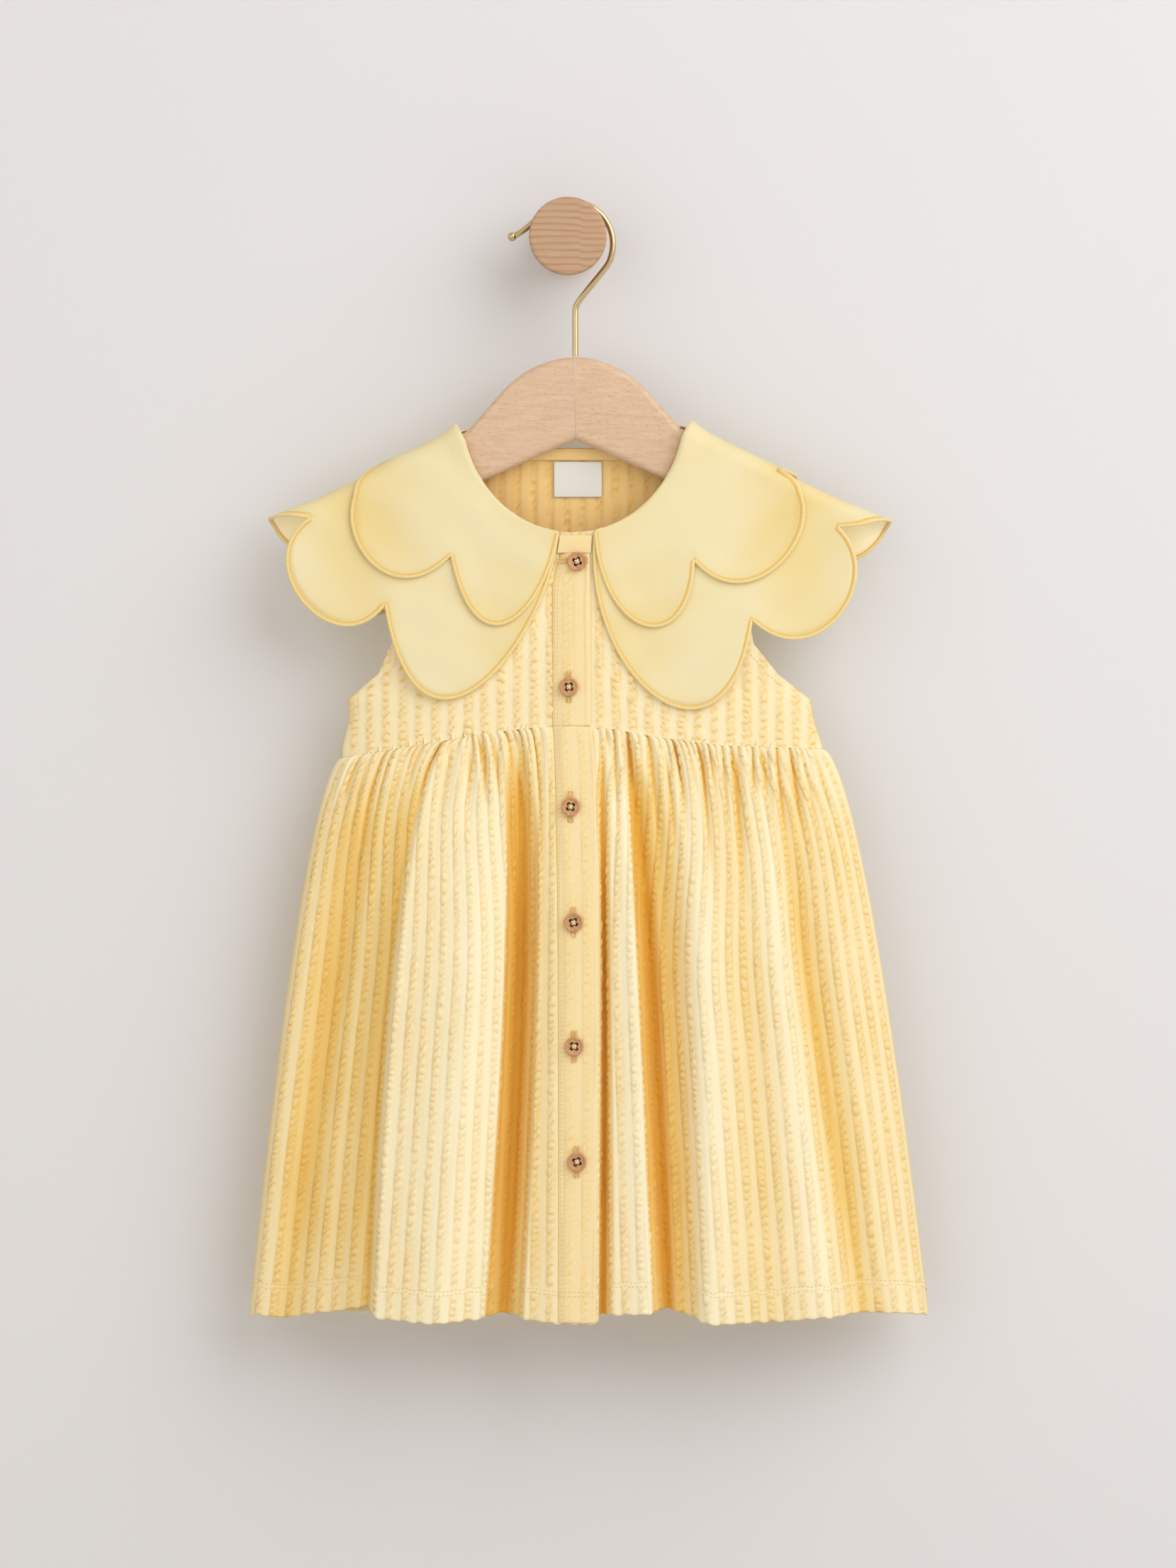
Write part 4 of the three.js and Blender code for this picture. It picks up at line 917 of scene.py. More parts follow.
# side, layer, front corner, then scallops on the front and on the back: two pulls and the notch they end in
COLLARS = {
    "collar_lower_left": (-1, 1, (-5.7, -172.6), [
        [(-12.4, -238.8), (-87.5, -327.1), (-105.8, -213.2)],
        [(-134.5, -252.5), (-188.6, -188.2), (-148.8, -162.8)],
        [(-156, -163.5), (-166, -164.5), (-173.4, -163.9)],
    ], [
        [(-171, -170), (-162, -184), (-146, -184)], [(-146, -214), (-114, -232), (-94, -208)],
        [(-76, -290), (-8, -284), (5.2, -212)],
    ]),
    "collar_lower_right": (1, 1, (15.6, -170.6), [
        [(6.5, -258.9), (92.4, -323.8), (106.6, -222.2)], [(143.6, -258.1), (188.2, -197.9), (156.2, -168.1)],
        [(166, -167.5), (178, -167), (187.4, -165.2)],
    ], [
        [(184, -174), (174, -189), (157, -188)], [(157, -220), (126, -242), (104, -212)],
        [(86, -290), (19, -284), (6, -212)],
    ]),
    "collar_upper_left": (-1, 2, (-5.7, -172.6), [
        [(-15.1, -223.6), (-54.2, -254.1), (-67.6, -184.5)],
        [(-107.7, -227.8), (-158.2, -142.4), (-105, -130)],
    ], [
        [(-150, -148), (-104, -222), (-67, -183)], [(-56, -240), (-2, -232), (5.2, -182)],
    ]),
    "collar_upper_right": (1, 2, (15.6, -170.6), [
        [(19, -234.7), (71.3, -247.4), (73, -187.8)], [(110.4, -230.9), (165.4, -152.1), (120.1, -137.1)],
        [(123, -138), (127, -139.3), (130.3, -141)],
    ], [
        [(134, -152), (112, -226), (76, -184)], [(65, -240), (13, -232), (6, -182)],
    ]),
}


print("collar tiers:", len(COLLARS))

# %% Collar lines
def even_line(line, count):
    """A line of places respaced evenly along its length."""
    run = path_length(line)
    return np.stack([np.interp(np.linspace(0, run[-1], count), run, line[:, k]) for k in range(2)], axis=-1)


def neck_line(side, corner):
    """Neck edge on the pattern, from the front corner over the ridge to the centre back."""
    start, steps = neck_start(side), 60
    lowest = np.pi / 2 - np.arcsin(side * (corner[0] - NECK_X) / NECK_HALF)
    front = pattern_place(side, *neck_point(side, np.linspace(lowest, start, steps)), FRONT)
    x = np.linspace(NECK_X + side * NECK_HALF * 0.94, APEX_X + side * GAP, steps)
    back = pattern_place(side, x, np.minimum(back_neck_z(x), ridge_z(x, 0) - 0.5), BACK)
    ridge = np.stack([np.full(7, front[-1, 0]), np.linspace(0.9, -0.9, 7) * QUARTER], axis=-1)
    return np.concatenate([front, ridge, back])


def scallop_line(side, corner, front, back, steps=48):
    """Scalloped edge on the pattern: one cubic curve for each scallop, from notch to notch."""
    t = np.linspace(0, 1, steps)[:, None]
    line = [pattern_place(side, *corner, FRONT)[None, :]]
    for face, lobes in ((FRONT, front), (BACK, back)):
        for lobe in lobes:
            pull, push, notch = (pattern_place(side, *place, face) for place in lobe)
            begin = line[-1][-1]
            ends = begin * (1 - t) ** 3 + notch * t ** 3
            curve = ends + 3 * pull * t * (1 - t) ** 2 + 3 * push * t * t * (1 - t)
            line.append(curve[1:])
    return np.concatenate(line)


def cut_parts(line, counts):
    """Front, fold and back parts of a pattern line, each respaced, so that the tiers stay parallel over the
    ridge. The fold part is read at even turns."""
    fold = line[:, 1]
    turns = np.linspace(1, -1, counts[1]) * QUARTER
    first, last = np.argmax(fold < QUARTER), len(fold) - np.argmax(fold[::-1] > -QUARTER)
    near = slice(max(first - 1, 0), min(last + 1, len(fold)))
    across = np.interp(-turns, -fold[near], line[near, 0])
    middle = np.stack([across, turns], axis=-1)
    front = even_line(np.concatenate([line[:first], middle[:1]]), counts[0])[:-1]
    back = even_line(np.concatenate([middle[-1:], line[last:]]), counts[2])[1:]
    return np.concatenate([front, middle, back])


def crowded(line, power):
    """A line respaced by a power of the share of its length, so that rulings do not cross at the notches."""
    run = path_length(line)
    at = np.linspace(0, 1, len(line)) ** power * run[-1]
    return np.stack([np.interp(at, run, line[:, k]) for k in range(2)], axis=-1)


print("tiers stand", TIER_STEP, "mm apart")

# %% Collar cloth and edging
def collar_wave(place):
    """The slow unevenness that all tiers share, so that they never cross: two crossed sines, a slanting one
    and the shallow wrinkles of a winding one."""
    along, fold = place[..., 0], place[..., 1]
    slow = 0.7 * np.sin(along / 15 + 1.1) * np.sin(fold / 24 + 0.4) + 0.6 * np.sin(along / 26 - fold / 31)
    return slow + 0.2 * np.sin(along / 5.5 + fold / 9 + 1.6 * np.sin(fold / 17))


EDGING_WIDTH = 2.2
# points along the front, over the fold and along the back, then from neck to edge
TIER_COUNTS, TIER_ROWS = (160, 25, 110), 24
# distance in from the edge, height over the collar's face
EDGING_PROFILE = np.array([
    (1.8, -1.25), (0.2, -1.3), (-0.5, -0.9), (-0.65, -0.3), (-0.4, 0.25), (0.2, 0.5), (0.8, 0.5), (1.2, 0.25),
    (1.5, 0.15), (1.8, 0.2), (EDGING_WIDTH, -0.1), (2.0, -0.7),
])


def collar_tier(name, side, layer, corner, front, back):
    """The tier's cloth and its edging, both laid over the shoulder from the pattern."""
    lift = BODICE_LIFT + layer * TIER_STEP + 0.1
    rim = cut_parts(scallop_line(side, corner, front, back), TIER_COUNTS)
    root = cut_parts(neck_line(side, corner), TIER_COUNTS)
    root[:TIER_COUNTS[0]] = crowded(root[:TIER_COUNTS[0]], 0.8)
    rim[0] = between(rim[0], rim[1], 0.3)
    share = np.linspace(0, 1, TIER_ROWS)[:, None, None]
    place = between(root[None], rim[None], share)
    reach = np.linalg.norm(rim - root, axis=1)[None, :]
    sway = 0.9 * eased((reach - 25) / 35)
    to_rim = np.array([np.linalg.norm(row[:, None] - rim[None], axis=2).min(axis=1) for row in place])
    wave = collar_wave(place) * eased((reach - 10) / 30) * eased(share[..., 0] * 3)
    stand = 2.4 * (1 - eased(share[..., 0] * reach / 14)) * eased(1 - np.abs(place[..., 1]) / 40)
    lifted = sway * eased(1 - to_rim / 16) + wave + stand
    grid = over_shoulder(side, place, lift + lifted)
    outward = np.where(place[..., 1:] >= 0, FRONT, BACK) * np.array([0, 1.0, 0]) + np.array([0, 0, 0.4])
    # Painted shade: darker near the scalloped edge and in the hollows of the shared waves, lighter on their
    # crests.
    tint_and_painted_shade = np.clip(0.2 * (1 - eased(to_rim / 7)) + 0.22 * (0.6 - collar_wave(place)), 0, 1)
    piece = cloth_sheet(
        f"{name}_cloth", grid, outward, COLLAR_CLOTH, tint_and_painted_shade, CLOTH * 0.9, PAINTED_GLOW_COLLAR_INSIDE)
    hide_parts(name)
    ahead = unit(np.gradient(rim, axis=0))
    inward = np.stack([-ahead[:, 1], ahead[:, 0]], axis=-1)
    inward *= np.sign(np.median(np.sum(inward * (root - rim), axis=1)))
    band = rim[:, None] + inward[:, None] * EDGING_PROFILE[None, :, :1]
    height = lift + lifted[-1][:, None] + EDGING_PROFILE[None, :, 1]
    rings = over_shoulder(side, band, height)
    return piece, rings


collars, edgings = {}, {}
for name, facts in COLLARS.items():
    collars[name], rings = collar_tier(name, *facts)
    run = path_length(rings[:, 4])
    along = np.repeat(run, rings.shape[1]) * MM
    inner = np.tile(0.7 * (EDGING_PROFILE[:, 0] > 1.1), len(rings))
    faces = grid_faces(*rings.shape[:2], wrap_cols=True)
    carried = {"along": along, "inner": inner}
    edgings[name] = make_piece(
        name.replace("collar", "edging"), rings, faces, EDGING_THREAD, carried)
    print(name, "edge is", round(float(run[-1])), "mm long")

# %% [markdown]
# ## Buttons
# A button is turned, so one profile of radius and height is swung round its axis. The four holes are smooth
# dips pressed into the face, and crossed thread lies between them. Cutting real holes would need many more
# faces, so each dip is painted near black instead, a painted shade that at this size looks the same as a
# hole.

# %% Wood finish
def wood_look(name, light, dark, grain, turn=(0, 0, 0), fleck=0.35, rough=0.5):
    """Long streaks from noise on stretched Object coordinates, and short darker flecks along the same way.
    Points that carry a number for the dips that stand for a button's holes get painted shade and turn near
    black."""
    look = Look(name, Roughness=rough, Coat_Weight=0.06)
    streak = look.noise(look.place(grain, turn), 1.0, 4)
    fine = look.noise(look.place(tuple(3.3 * g for g in grain), turn), 1.0, 3)
    spots = look.noise(look.place(tuple(6.0 * g for g in grain), turn), 1.0, 1).above(0.62, 0.74)
    wood = look.mix((streak * 0.7 + fine * 0.3 + spots * fleck).above(0.3, 0.95), light, dark)
    # Painted shade: the dips that stand for the holes are painted near black, as the dark inside a hole.
    look.paint(Base_Color=look.mix(look.attribute("hole_shade"), wood, colour(42, 26, 16)))
    look.bump(fine + spots * -0.6, 0.0002, 0.35)
    return look.material


BUTTON_WOOD = wood_look("button_wood", colour(224, 170, 120), colour(164, 108, 68), (420, 420, 90), fleck=0.5)
print("button wood made")

# %% Buttons
BUTTON_TURNS = (20, 4, -8, 12, -4, 16)
HOLE_AT, HOLE_RADIUS, HOLE_DEEP = 1.9, 0.95, 1.5
THREAD_REACH, STRAND = 1.45, 0.27
# share of the radius, height over the seat
BUTTON_RIM = [
    (0, 0.15), (0.7, 0.15), (0.86, 0.15), (0.97, 0.6), (1.0, 1.2), (0.985, 1.9), (0.95, 2.35), (0.9, 2.58),
    (0.85, 2.62), (0.8, 2.5), (0.76, 2.2), (0.72, 2.02),
]
BUTTON_PROFILE = np.array(BUTTON_RIM + [(share, 1.97) for share in np.linspace(0.68, 0, 20)])


print("points on a button's profile:", len(BUTTON_PROFILE))

# %% Turned buttons
def button_shape(radius, turned):
    """The profile swung round, with a dip of the shape of a bell at each of the four holes, and the share of
    painted shade at each point of a dip.
    """
    turn = np.linspace(0, 2 * np.pi, 61)
    out = BUTTON_PROFILE[:, :1] * radius
    x, z = out * np.cos(turn), out * np.sin(turn)
    height = np.repeat(BUTTON_PROFILE[:, 1:], len(turn), axis=1)
    face = (np.arange(len(BUTTON_PROFILE)) > 10)[:, None]
    for quarter in range(4):
        angle = np.radians(turned + 45 + 90 * quarter)
        off = np.hypot(x - HOLE_AT * np.cos(angle), z - HOLE_AT * np.sin(angle))
        height = height - face * HOLE_DEEP * np.exp(-(off / HOLE_RADIUS) ** 4)
    hole_shade = np.clip((BUTTON_PROFILE[:, 1:] - height) / 0.9, 0, 1)
    return np.stack([x, -height, z], axis=-1), hole_shade


def button_seat(k):
    """Middle of the button's back, read from its solid."""
    low, high = (np.array(corner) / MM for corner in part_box(f"button_{k}"))
    return np.array([(low[0] + high[0]) / 2, high[1], (low[2] + high[2]) / 2]), (high[0] - low[0]) / 2


for k, turned in enumerate(BUTTON_TURNS, start=1):
    seat, radius = button_seat(k)
    shape, hole_shade = button_shape(radius, turned)
    shape = shape + seat
    faces = facing_out(shape, grid_faces(*shape.shape[:2]), unit(shape - seat + np.array([0, 1.3, 0])))
    button = make_piece(f"button_{k}_turned", shape, faces, BUTTON_WOOD, {"hole_shade": hole_shade})
    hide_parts(f"button_{k}")
    threads = []
    share = np.linspace(0, 1, 13)[:, None]
    for first in (0, 1):
        angles = np.radians(turned + 45 + 90 * np.array([first, first + 2]))
        ends = np.stack([np.cos(angles), np.zeros(2), np.sin(angles)], axis=-1) * THREAD_REACH
        beside = np.stack([np.sin(angles[0]), 0, -np.cos(angles[0])]) * STRAND
        lift = -1.75 - (0.7 + 0.25 * first) * np.sin(np.pi * share) ** 0.6
        for way in (-1, 1):
            strand = between(ends[0], ends[1], share) + way * beside + lift * np.array([0, 1.0, 0])
            threads.append(tube(strand + seat, STRAND, 6))
    thread_piece(f"button_{k}_thread", threads, CREAM_THREAD)
print("buttons:", len(BUTTON_TURNS))

# %% [markdown]
# ## Stitching and buttonholes
# Thread shows as short raised stitches with a gap between them. A stitch is a thin tube that dips into the
# cloth at both ends. Each row follows a line on the finished cloth, so it rises and falls with the folds.
# A buttonhole is a close row of small stitches round a slit, standing on end beside each other.

# %% Stitches
STITCH_PITCH, STITCH_RADIUS, STITCH_FILL = 2.5, 0.2, 0.7


def along_line(line, run, at):
    return np.stack([np.interp(at, run, line[:, k]) for k in range(3)], axis=-1)


def short_tubes(middle, normal, radius):
    """Many short tubes at once, from middles of shape (tube, step, 3). They taper to nothing at both ends."""
    ahead = unit(np.gradient(middle, axis=1))
    beside = unit(np.cross(ahead, normal))
    over = np.cross(beside, ahead)
    steps, sides = middle.shape[1], 6
    turn = np.linspace(0, 2 * np.pi, sides, endpoint=False)[None, None, :, None]
    taper = np.sin(np.pi * np.linspace(0.01, 0.99, steps)) ** 0.4
    ring = np.cos(turn) * beside[:, :, None] + np.sin(turn) * over[:, :, None]
    points = middle[:, :, None] + ring * (radius * taper)[None, :, None, None]
    each = grid_faces(steps, sides, wrap_cols=True)
    faces = each[None] + (np.arange(len(middle)) * steps * sides)[:, None, None]
    along = np.broadcast_to(np.linspace(0, 1.8, steps)[None, :, None], points.shape[:3])
    return points.reshape(-1, 3), faces.reshape(-1, 4), along.ravel()


def stitch_row(line, outward, pitch=STITCH_PITCH, radius=STITCH_RADIUS, fill=STITCH_FILL):
    """Stitches along a line: each covers a share of its pitch and bows out in the middle by half a sine."""
    run = path_length(line)
    count = max(int(run[-1] / pitch), 1)
    share = np.linspace(0, 1, 5)
    at = (np.arange(count)[:, None] + 0.5 * (1 - fill) + fill * share[None]) * run[-1] / count
    normal = unit(along_line(outward, run, at))
    bow = radius * (2.0 * np.sin(np.pi * share) - 0.9)
    return short_tubes(along_line(line, run, at) + normal * bow[None, :, None], normal, radius)


print("a stitch every", STITCH_PITCH, "mm")

# %% Lines on the cloth
def evened(line, reach):
    """A line evened out by a running mean, so that its stitches do not follow every pucker."""
    weight = np.hanning(2 * reach + 1)
    padded = np.pad(line, ((reach, reach), (0, 0)), "edge")
    return np.stack([np.convolve(padded[:, k], weight / weight.sum(), "valid") for k in range(3)], axis=-1)


def line_above_hem(grid, facing, above):
    """The line on a grid at a height above its last row, and the outward direction at each of its points."""
    row = np.argmin(np.abs(grid[..., 2] - grid[-1:, :, 2] - above), axis=0)
    columns = np.arange(grid.shape[1])
    return grid[row, columns], grid_normals(grid, facing)[row, columns]


def line_from_edge(grid, facing, inset, last=False):
    """The line on a grid at a distance along each row from its first or last column, and the outward
    direction at each of its points."""
    rows = grid[:, ::-1] if last else grid
    normals = grid_normals(grid, facing)
    normals = normals[:, ::-1] if last else normals
    pairs = [
        (along_line(line, path_length(line), np.array([inset]))[0], normal[len(normal) // 12])
        for line, normal in zip(rows, normals)
    ]
    return np.array([place for place, _ in pairs]), np.array([normal for _, normal in pairs])


print("lines can follow a hem or an edge")

# %% Hem rows
HEM_ROWS = (HEM_STITCH - 1.2, HEM_STITCH + 1.2)
hems = {
    "front_left": (skirt_left_form, (0, FRONT, 0)), "front_right": (skirt_right_form, (0, FRONT, 0)),
    "back": (skirt_back_form, (0, BACK, 0)), "placket": (placket_low_form, (0, FRONT, 0)),
}
for name, (grid, facing) in hems.items():
    lines = [line_above_hem(grid, facing, above) for above in HEM_ROWS]
    rows = [stitch_row(evened(line, 3), outward) for line, outward in lines]
    thread_piece(f"hem_stitches_{name}", rows, SEWING_THREAD)
print("hem rows stand", HEM_ROWS, "mm above the edge")

# %% Placket and armhole rows
PLACKET_INSETS, ARMHOLE_INSET, ARMHOLE_ENDS = (1.6, 3.4), 8.2, -264.0
rows = []
for grid in (placket_top_form, placket_low_form):
    for inset in PLACKET_INSETS:
        line, outward = line_from_edge(grid, (0, FRONT, 0), inset)
        rows.append(stitch_row(evened(line, 5), outward, radius=0.15))
placket_threads = thread_piece("placket_stitches", rows, SEWING_THREAD)


def armhole_row(grid, face, last=False):
    """Stitches beside an armhole, from just below the fold over the shoulder to the top of the side seam."""
    line, outward = line_from_edge(grid, (0, face, 0), ARMHOLE_INSET, last)
    kept = (line[:, 2] > ARMHOLE_ENDS) & (np.abs(line[:, 1] - HANG_Y) > FOLD)
    return stitch_row(evened(line[kept], 4), outward[kept], radius=0.17)


armholes = {
    "front_left": [armhole_row(bodice_left_form, FRONT)],
    "front_right": [armhole_row(bodice_right_form, FRONT)],
    "back": [armhole_row(bodice_back_form, BACK, last) for last in (False, True)],
}
for name, rows in armholes.items():
    thread_piece(f"armhole_stitches_{name}", rows, SEWING_THREAD)
print("placket and armhole rows sewn")

# %% Buttonholes
HOLE_HALF, BAR_OUT, BAR_IN, OVERSEW, BAR_RADIUS = 7.9, 1.8, 0.4, 0.5, 0.22
FIRST_HOLE_SHIFT = np.array([2.6, 0, -0.8])


def buttonhole(seat, upright):
    """Close stitches across both sides of a slit, and three at each end. They lie just over the placket."""
    along, across = (np.array([0, 0, 1.0]), np.array([1.0, 0, 0]))
    if not upright:
        along, across = across, along
    at = np.arange(-HOLE_HALF, HOLE_HALF + 0.01, OVERSEW)
    share = np.linspace(0, 1, 5)
    bars = []
    for side in (-1, 1):
        out = side * between(BAR_IN, BAR_OUT, share)
        bars.append(at[:, None, None] * along + out[None, :, None] * across)
    for end in (-1, 1):
        place = end * (HOLE_HALF + np.array([0.2, 0.6, 1.0]))
        bars.append(place[:, None, None] * along + (BAR_OUT * (2 * share - 1))[None, :, None] * across)
    middle = np.concatenate(bars)
    middle = middle + seat - np.array([0, 1.0, 0]) * (0.1 + 0.3 * np.sin(np.pi * share))[None, :, None]
    return short_tubes(middle, np.broadcast_to(np.array([0, -1.0, 0]), middle.shape), BAR_RADIUS)


holes = []
for k in range(1, len(BUTTON_TURNS) + 1):
    seat = button_seat(k)[0]
    upright = k > 1
    holes.append(buttonhole(seat if upright else seat - FIRST_HOLE_SHIFT, upright))
thread_piece("buttonhole_stitches", holes, HOLE_THREAD)
print("buttonholes:", len(holes))

# %% [markdown]
# ## Hanger, hook and peg
# Each hanger arm is a row of flat sections with round edges, from the mitre in the middle to the rounded tip.
# The hook is a round wire swept along its bent path and closed by a small ball. The peg is turned, so it is a
# profile swung round the axis that stands out of the wall. The grain follows each piece's own length.

# %% Wood and wire finishes
BEECH = {
    side: wood_look(f"beech_{word}", colour(230, 200, 170), colour(202, 160, 124), (55, 300, 420),
                    (0, -side * SLOPE, 0), 0.5, 0.45)
    for side, word in ((-1, "left"), (1, "right"))
}


def peg_look():
    """Growth lines of a slice: bands of height bent by slow noise, with a kink where another block starts."""
    look = Look("peg_wood", Roughness=0.55)
    where = look.node("ShaderNodeSeparateXYZ", {}, {"Vector": look.place()}, output=0)
    height = look.node("ShaderNodeSeparateXYZ", {}, {"Vector": look.place()}, output=2)
    bend = look.noise(look.place((26, 26, 60)), 1.0, 2) * 0.0042
    kink = where.above(0.0065, 0.0085) * 0.0011
    lines = ((height + bend + kink) * 1650.0).sine() * 0.5 + 0.5
    streak = look.noise(look.place((60, 60, 900)), 1.0, 3)
    shade = lines.above(0.45, 1.0) * 0.45 + streak * 0.75
    look.paint(Base_Color=look.mix(shade.above(0.12, 1.1), colour(206, 170, 136), colour(172, 130, 96)))
    look.bump(lines, 0.0002, 0.2)
    return look.material


PEG_WOOD = peg_look()
BRASS = Look("hook_wire", Metallic=1.0, Roughness=0.26)
BRASS.paint(Base_Color=BRASS.mix(
    BRASS.noise(BRASS.place(), 240.0), colour(222, 204, 162), colour(204, 182, 134)))

# %% Arm sections
HANGER_MIDDLE, TIP_FROM, TIP_LONG = 4.3, 110.0, 16.0
# distance out from the mitre, height of the top edge
HUMP_ROWS = [
    (0, -69.3), (9, -70.2), (18, -72.8), (27, -76.9), (35, -82.1), (43, -89.9), (50, -98.5), (57, -106.6),
    (61, -111),
]


def arm_rings(side):
    """Sections across the arm: flat sides, round top and bottom edges, closing at the tip like a circle."""
    hump_end = HUMP_ROWS[-1][0]
    out = np.concatenate([
        np.linspace(0, hump_end, 40), np.linspace(hump_end + 2, TIP_FROM, 20),
        TIP_FROM + TIP_LONG * np.sin(np.linspace(0.1, np.pi / 2, 12)),
    ])
    x = HANGER_MIDDLE + side * (out + GAP / 2)
    hump = np.interp(out, np.linspace(0, hump_end, 200), smooth_line(HUMP_ROWS, 200))
    top = np.where(out <= hump_end, hump, ridge_z(x, HANGER_HALF) - GAP)
    under = -117.5 - 0.45 * out
    close = np.sqrt(1 - (0.985 * np.clip((out - TIP_FROM) / TIP_LONG, 0, 1)) ** 2)
    half = HANGER_HALF * close
    straight = (top - under) / 2 * close - half
    turn = np.linspace(0, 2 * np.pi, 44, endpoint=False)
    flat_y = np.sign(np.cos(turn)) * np.abs(np.cos(turn)) ** 0.6
    y = HANG_Y + half[:, None] * flat_y
    edge_z = half[:, None] * np.sin(turn) + np.sign(np.sin(turn)) * straight[:, None]
    z = ((top + under) / 2)[:, None] + edge_z
    return np.stack([np.broadcast_to(x[:, None], y.shape), y, z], axis=-1)


print("arms are", TIP_FROM + TIP_LONG, "mm long from the mitre")

# %% Closed pieces from rings
def smooth_line(rows, count):
    """Heights along a table, smoothed by a running mean so that its corners become a curve."""
    at = np.linspace(rows[0][0], rows[-1][0], count)
    line = np.interp(at, column(rows, 0), column(rows, 1))
    span = 25
    padded = np.concatenate([line[span:0:-1], line, 2 * line[-1] - line[-2:-span - 2:-1]])
    return np.convolve(padded, np.ones(2 * span + 1) / (2 * span + 1), "valid")


def capped(rings):
    """Faces of rings with both ends closed by a many-sided face."""
    count, sides = rings.shape[:2]
    first = list(range(sides))
    last = list(range((count - 1) * sides, count * sides))
    return [*grid_faces(count, sides, wrap_cols=True).tolist(), first[::-1], last]


def ring_piece(name, rings, material, replaced):
    """A closed piece from rings, with its faces turned outwards by the sign of its volume."""
    faces = capped(rings)
    points = rings.reshape(-1, 3)
    corners = np.array([face[:3] for face in faces])
    first, second, third = (points[corners[:, k]] - points.mean(axis=0) for k in range(3))
    if np.sum(first * np.cross(second, third)) < 0:
        faces = [face[::-1] for face in faces]
    mesh_piece = make_piece(name, points, faces, material)
    mesh_piece.data.set_sharp_from_angle(angle=np.radians(50))
    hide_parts(replaced)
    print(name, "rings", rings.shape[:2])


for side, word in ((-1, "left"), (1, "right")):
    ring_piece(f"arm_{word}", arm_rings(side), BEECH[side], f"hanger_arm_{word}")

# %% Hook
WIRE, TIP_BALL = 1.8, 2.7
ARC_X, ARC_RADIUS, PEG_SHANK = 1.6, 24.6, 18.4
ARC_Z = PEG_SHANK + 2 * GAP + WIRE - ARC_RADIUS


def smooth_path(points, count):
    """A line through the points: cubic pieces whose slope at a point is half its neighbours' gap."""
    p = np.asarray(points, dtype=float)
    p = np.concatenate([2 * p[:1] - p[1:2], p, 2 * p[-1:] - p[-2:-1]])
    at = np.linspace(0, len(p) - 3 - 1e-6, count)
    k = at.astype(int)
    t = (at - k)[:, None]
    a, b, c, d = p[k], p[k + 1], p[k + 2], p[k + 3]
    bend = (2 * a - 5 * b + 4 * c - d) * t ** 2 + (3 * b - a - 3 * c + d) * t ** 3
    return 0.5 * (2 * b + (c - a) * t + bend)


angle = np.radians(np.linspace(-32, 146, 13))
arc = np.stack([ARC_X + ARC_RADIUS * np.cos(angle), ARC_Z + ARC_RADIUS * np.sin(angle)], axis=-1)
route = np.concatenate([
    [(HANGER_MIDDLE, z) for z in (-69.0, -57.0, -46.0)], [(5.2, -39.0), (11.5, -30.5)], arc,
    [(-27.0, 3.2), (-32.4, 0.4)],
])
route = np.stack([route[:, 0], np.full(len(route), HANG_Y), route[:, 1]], axis=-1)
wire = tube_points(smooth_path(route, 220), WIRE, 20, (0, -1, 0))
lat = np.linspace(-np.pi / 2 + 0.02, np.pi / 2 - 0.02, 18)
ball_path = route[-1] + TIP_BALL * np.sin(lat)[:, None] * unit(route[-1] - route[-2])
ball = tube_points(ball_path, TIP_BALL * np.cos(lat), 24, (0, -1, 0))
ring_piece("hook_wire", wire, BRASS.material, "hanger_hook")
ring_piece("hook_ball", ball, BRASS.material, "hanger_hook")

# %% Peg
# radius, distance out from the wall
PEG_ROWS = np.array([
    (PEG_SHANK, 0.02), (PEG_SHANK, 20), (PEG_SHANK, 43.2), (19.4, 43.5), (21.4, 43.5), (22.2, 43.9),
    (22.5, 44.7), (22.5, 48.8), (22.5, 52.8), (22.15, 53.6), (21.4, 53.95), (20.4, 54), (10, 54), (1, 54),
])
turn = np.linspace(0, 2 * np.pi, 96, endpoint=False)
peg_rings = np.stack([
    PEG_ROWS[:, :1] * np.cos(turn), -PEG_ROWS[:, 1:] + 0 * turn, PEG_ROWS[:, :1] * np.sin(turn),
], axis=-1)
ring_piece("peg", peg_rings, PEG_WOOD, "wall_peg")

# %% [markdown]
# ## The cut of the cloth
# A gathered skirt panel is a plain rectangle: as wide as its hem is when it is pulled straight, by its
# finished length. The hem widths come from the skirt panels, and the collar tiers, whose edges are curved,
# have their flat width, length and area listed.

hem_left * MM
hem_right * MM
hem_back * MM
# flat width, flat length, flat area of each collar tier
COLLAR_CUTS = {
    "collar_lower_left": (0.183, 0.296, 0.0335), "collar_lower_right": (0.182, 0.307, 0.0355),
    "collar_upper_left": (0.139, 0.233, 0.0186), "collar_upper_right": (0.136, 0.236, 0.0192),
}
for name, (wide, long, area) in COLLAR_CUTS.items():
    side = name.split("_")[2]
print("sheets declared:", 11 + len(COLLAR_CUTS))

# %% [markdown]
# ## Stage, light and camera
# The dress hangs on a wall, so the stage is a pale wall just behind the peg and a pale floor below the hem.
# The wall is paint on one side only: seen from behind it lets the view and the light through.
# A large soft light stands high on the right, with a weaker fill on the left, so the folds stay readable.
# The camera looks straight at the wall. Its distance follows from the lens and the height that must fit.

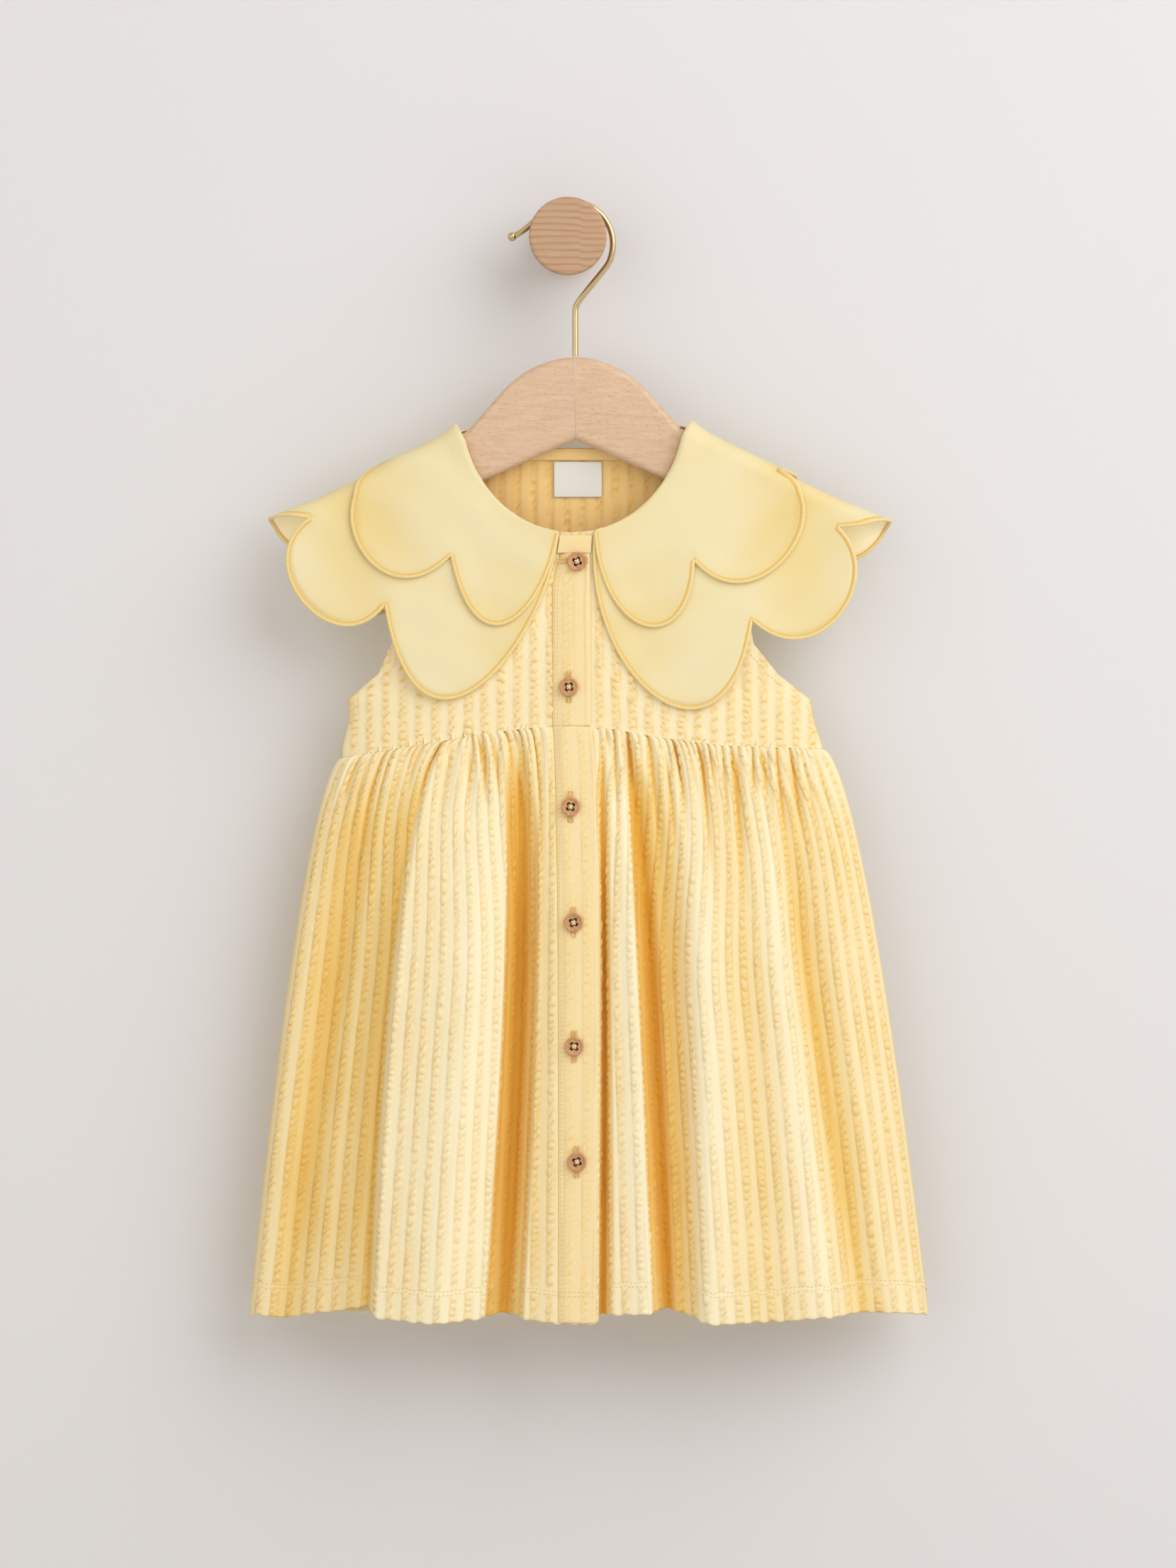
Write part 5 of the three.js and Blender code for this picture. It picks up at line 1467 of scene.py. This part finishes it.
# %% Wall and floor
WALL = Look("wall_paint", Roughness=0.95)
WALL.paint(Base_Color=WALL.mix(
    WALL.noise(WALL.place(), 1.3, 2), colour(228, 226, 228), colour(231, 230, 232)))
behind = WALL.node("ShaderNodeNewGeometry", output=6)
clear = WALL.node("ShaderNodeBsdfTransparent")
painted = Val(WALL, WALL.shader.outputs[0])
one_sided = WALL.node("ShaderNodeMixShader", {}, {0: behind, 1: painted, 2: clear})
WALL.join(WALL.tree.nodes["Material Output"].inputs["Surface"], one_sided)
FLOOR = Look("floor_paint", Roughness=0.9)
FLOOR.paint(Base_Color=colour(226, 224, 220))
FLOOR_Z, FLOOR_NEAR = -820.0, -6000
WALL_Y, WALL_HALF, WALL_TOP = 1, 2600, 1900


def stage_sheet(name, corners, material):
    mesh = bpy.data.meshes.new(name)
    mesh.from_pydata(np.array(corners) * MM, [], [(0, 1, 2, 3)])
    mesh.materials.append(material)
    sheet = bpy.data.objects.new(name, mesh)
    bpy.context.collection.objects.link(sheet)
    return sheet


foot = [(-WALL_HALF, WALL_Y, FLOOR_Z), (WALL_HALF, WALL_Y, FLOOR_Z)]
head = [(WALL_HALF, WALL_Y, WALL_TOP), (-WALL_HALF, WALL_Y, WALL_TOP)]
near = [(-WALL_HALF, FLOOR_NEAR, FLOOR_Z), (WALL_HALF, FLOOR_NEAR, FLOOR_Z)]
wall = stage_sheet("stage_wall", foot + head, WALL.material)
wall.visible_shadow = False
wall.visible_diffuse = False
stage_sheet("stage_floor", foot[:1] + near + foot[1:], FLOOR.material)


print("floor lies at", FLOOR_Z, "mm")

# %% Lights
def soft_light(name, place, target, size, watts, tint):
    lamp = bpy.data.lights.new(name, "AREA")
    lamp.shape = "DISK"
    lamp.size = size
    lamp.energy = watts
    lamp.color = tint
    holder = bpy.data.objects.new(name, lamp)
    bpy.context.collection.objects.link(holder)
    place, target = Vector(place), Vector(target)
    holder.location = place
    holder.rotation_euler = (target - place).to_track_quat("-Z", "Y").to_euler()


LIT_MIDDLE = (0, 0, -0.35)
soft_light("key_light", (1.75, -1.9, 1.2), LIT_MIDDLE, 3.2, 54, (0.985, 0.99, 1.0))
soft_light("fill_light", (-1.7, -2.5, 0.1), LIT_MIDDLE, 3.2, 16, (1.0, 0.98, 0.95))
world = bpy.data.worlds.new("studio")
world.use_nodes = True
sky = world.node_tree.nodes["Background"]
sky.inputs["Color"].default_value = (1.0, 0.955, 0.885, 1)
sky.inputs["Strength"].default_value = 0.53
bpy.context.scene.world = world
bpy.context.scene.view_settings.view_transform = "Standard"

# %% Camera
IMAGE_WIDTH, IMAGE_HEIGHT, PIXEL = 1659, 2212, 0.41
LENS, SENSOR = 180.0, 36.0
PEG_ACROSS, PEG_DOWN, FOCUS_Y = 801, 332, -55
camera_data = bpy.data.cameras.new("camera")
camera_data.lens = LENS
camera_data.sensor_fit = "VERTICAL"
camera_data.sensor_height = SENSOR
camera_data.sensor_width = SENSOR * IMAGE_WIDTH / IMAGE_HEIGHT
camera = bpy.data.objects.new("camera", camera_data)
bpy.context.collection.objects.link(camera)
middle_x = (IMAGE_WIDTH / 2 - PEG_ACROSS) * PIXEL
middle_z = (PEG_DOWN - IMAGE_HEIGHT / 2) * PIXEL
distance = IMAGE_HEIGHT * PIXEL * LENS / SENSOR
camera.location = (middle_x * MM, (FOCUS_Y - distance) * MM, middle_z * MM)
camera.rotation_euler = (np.pi / 2, 0, 0)
bpy.context.scene.camera = camera
print("camera stands", round(distance), "mm in front of the dress")
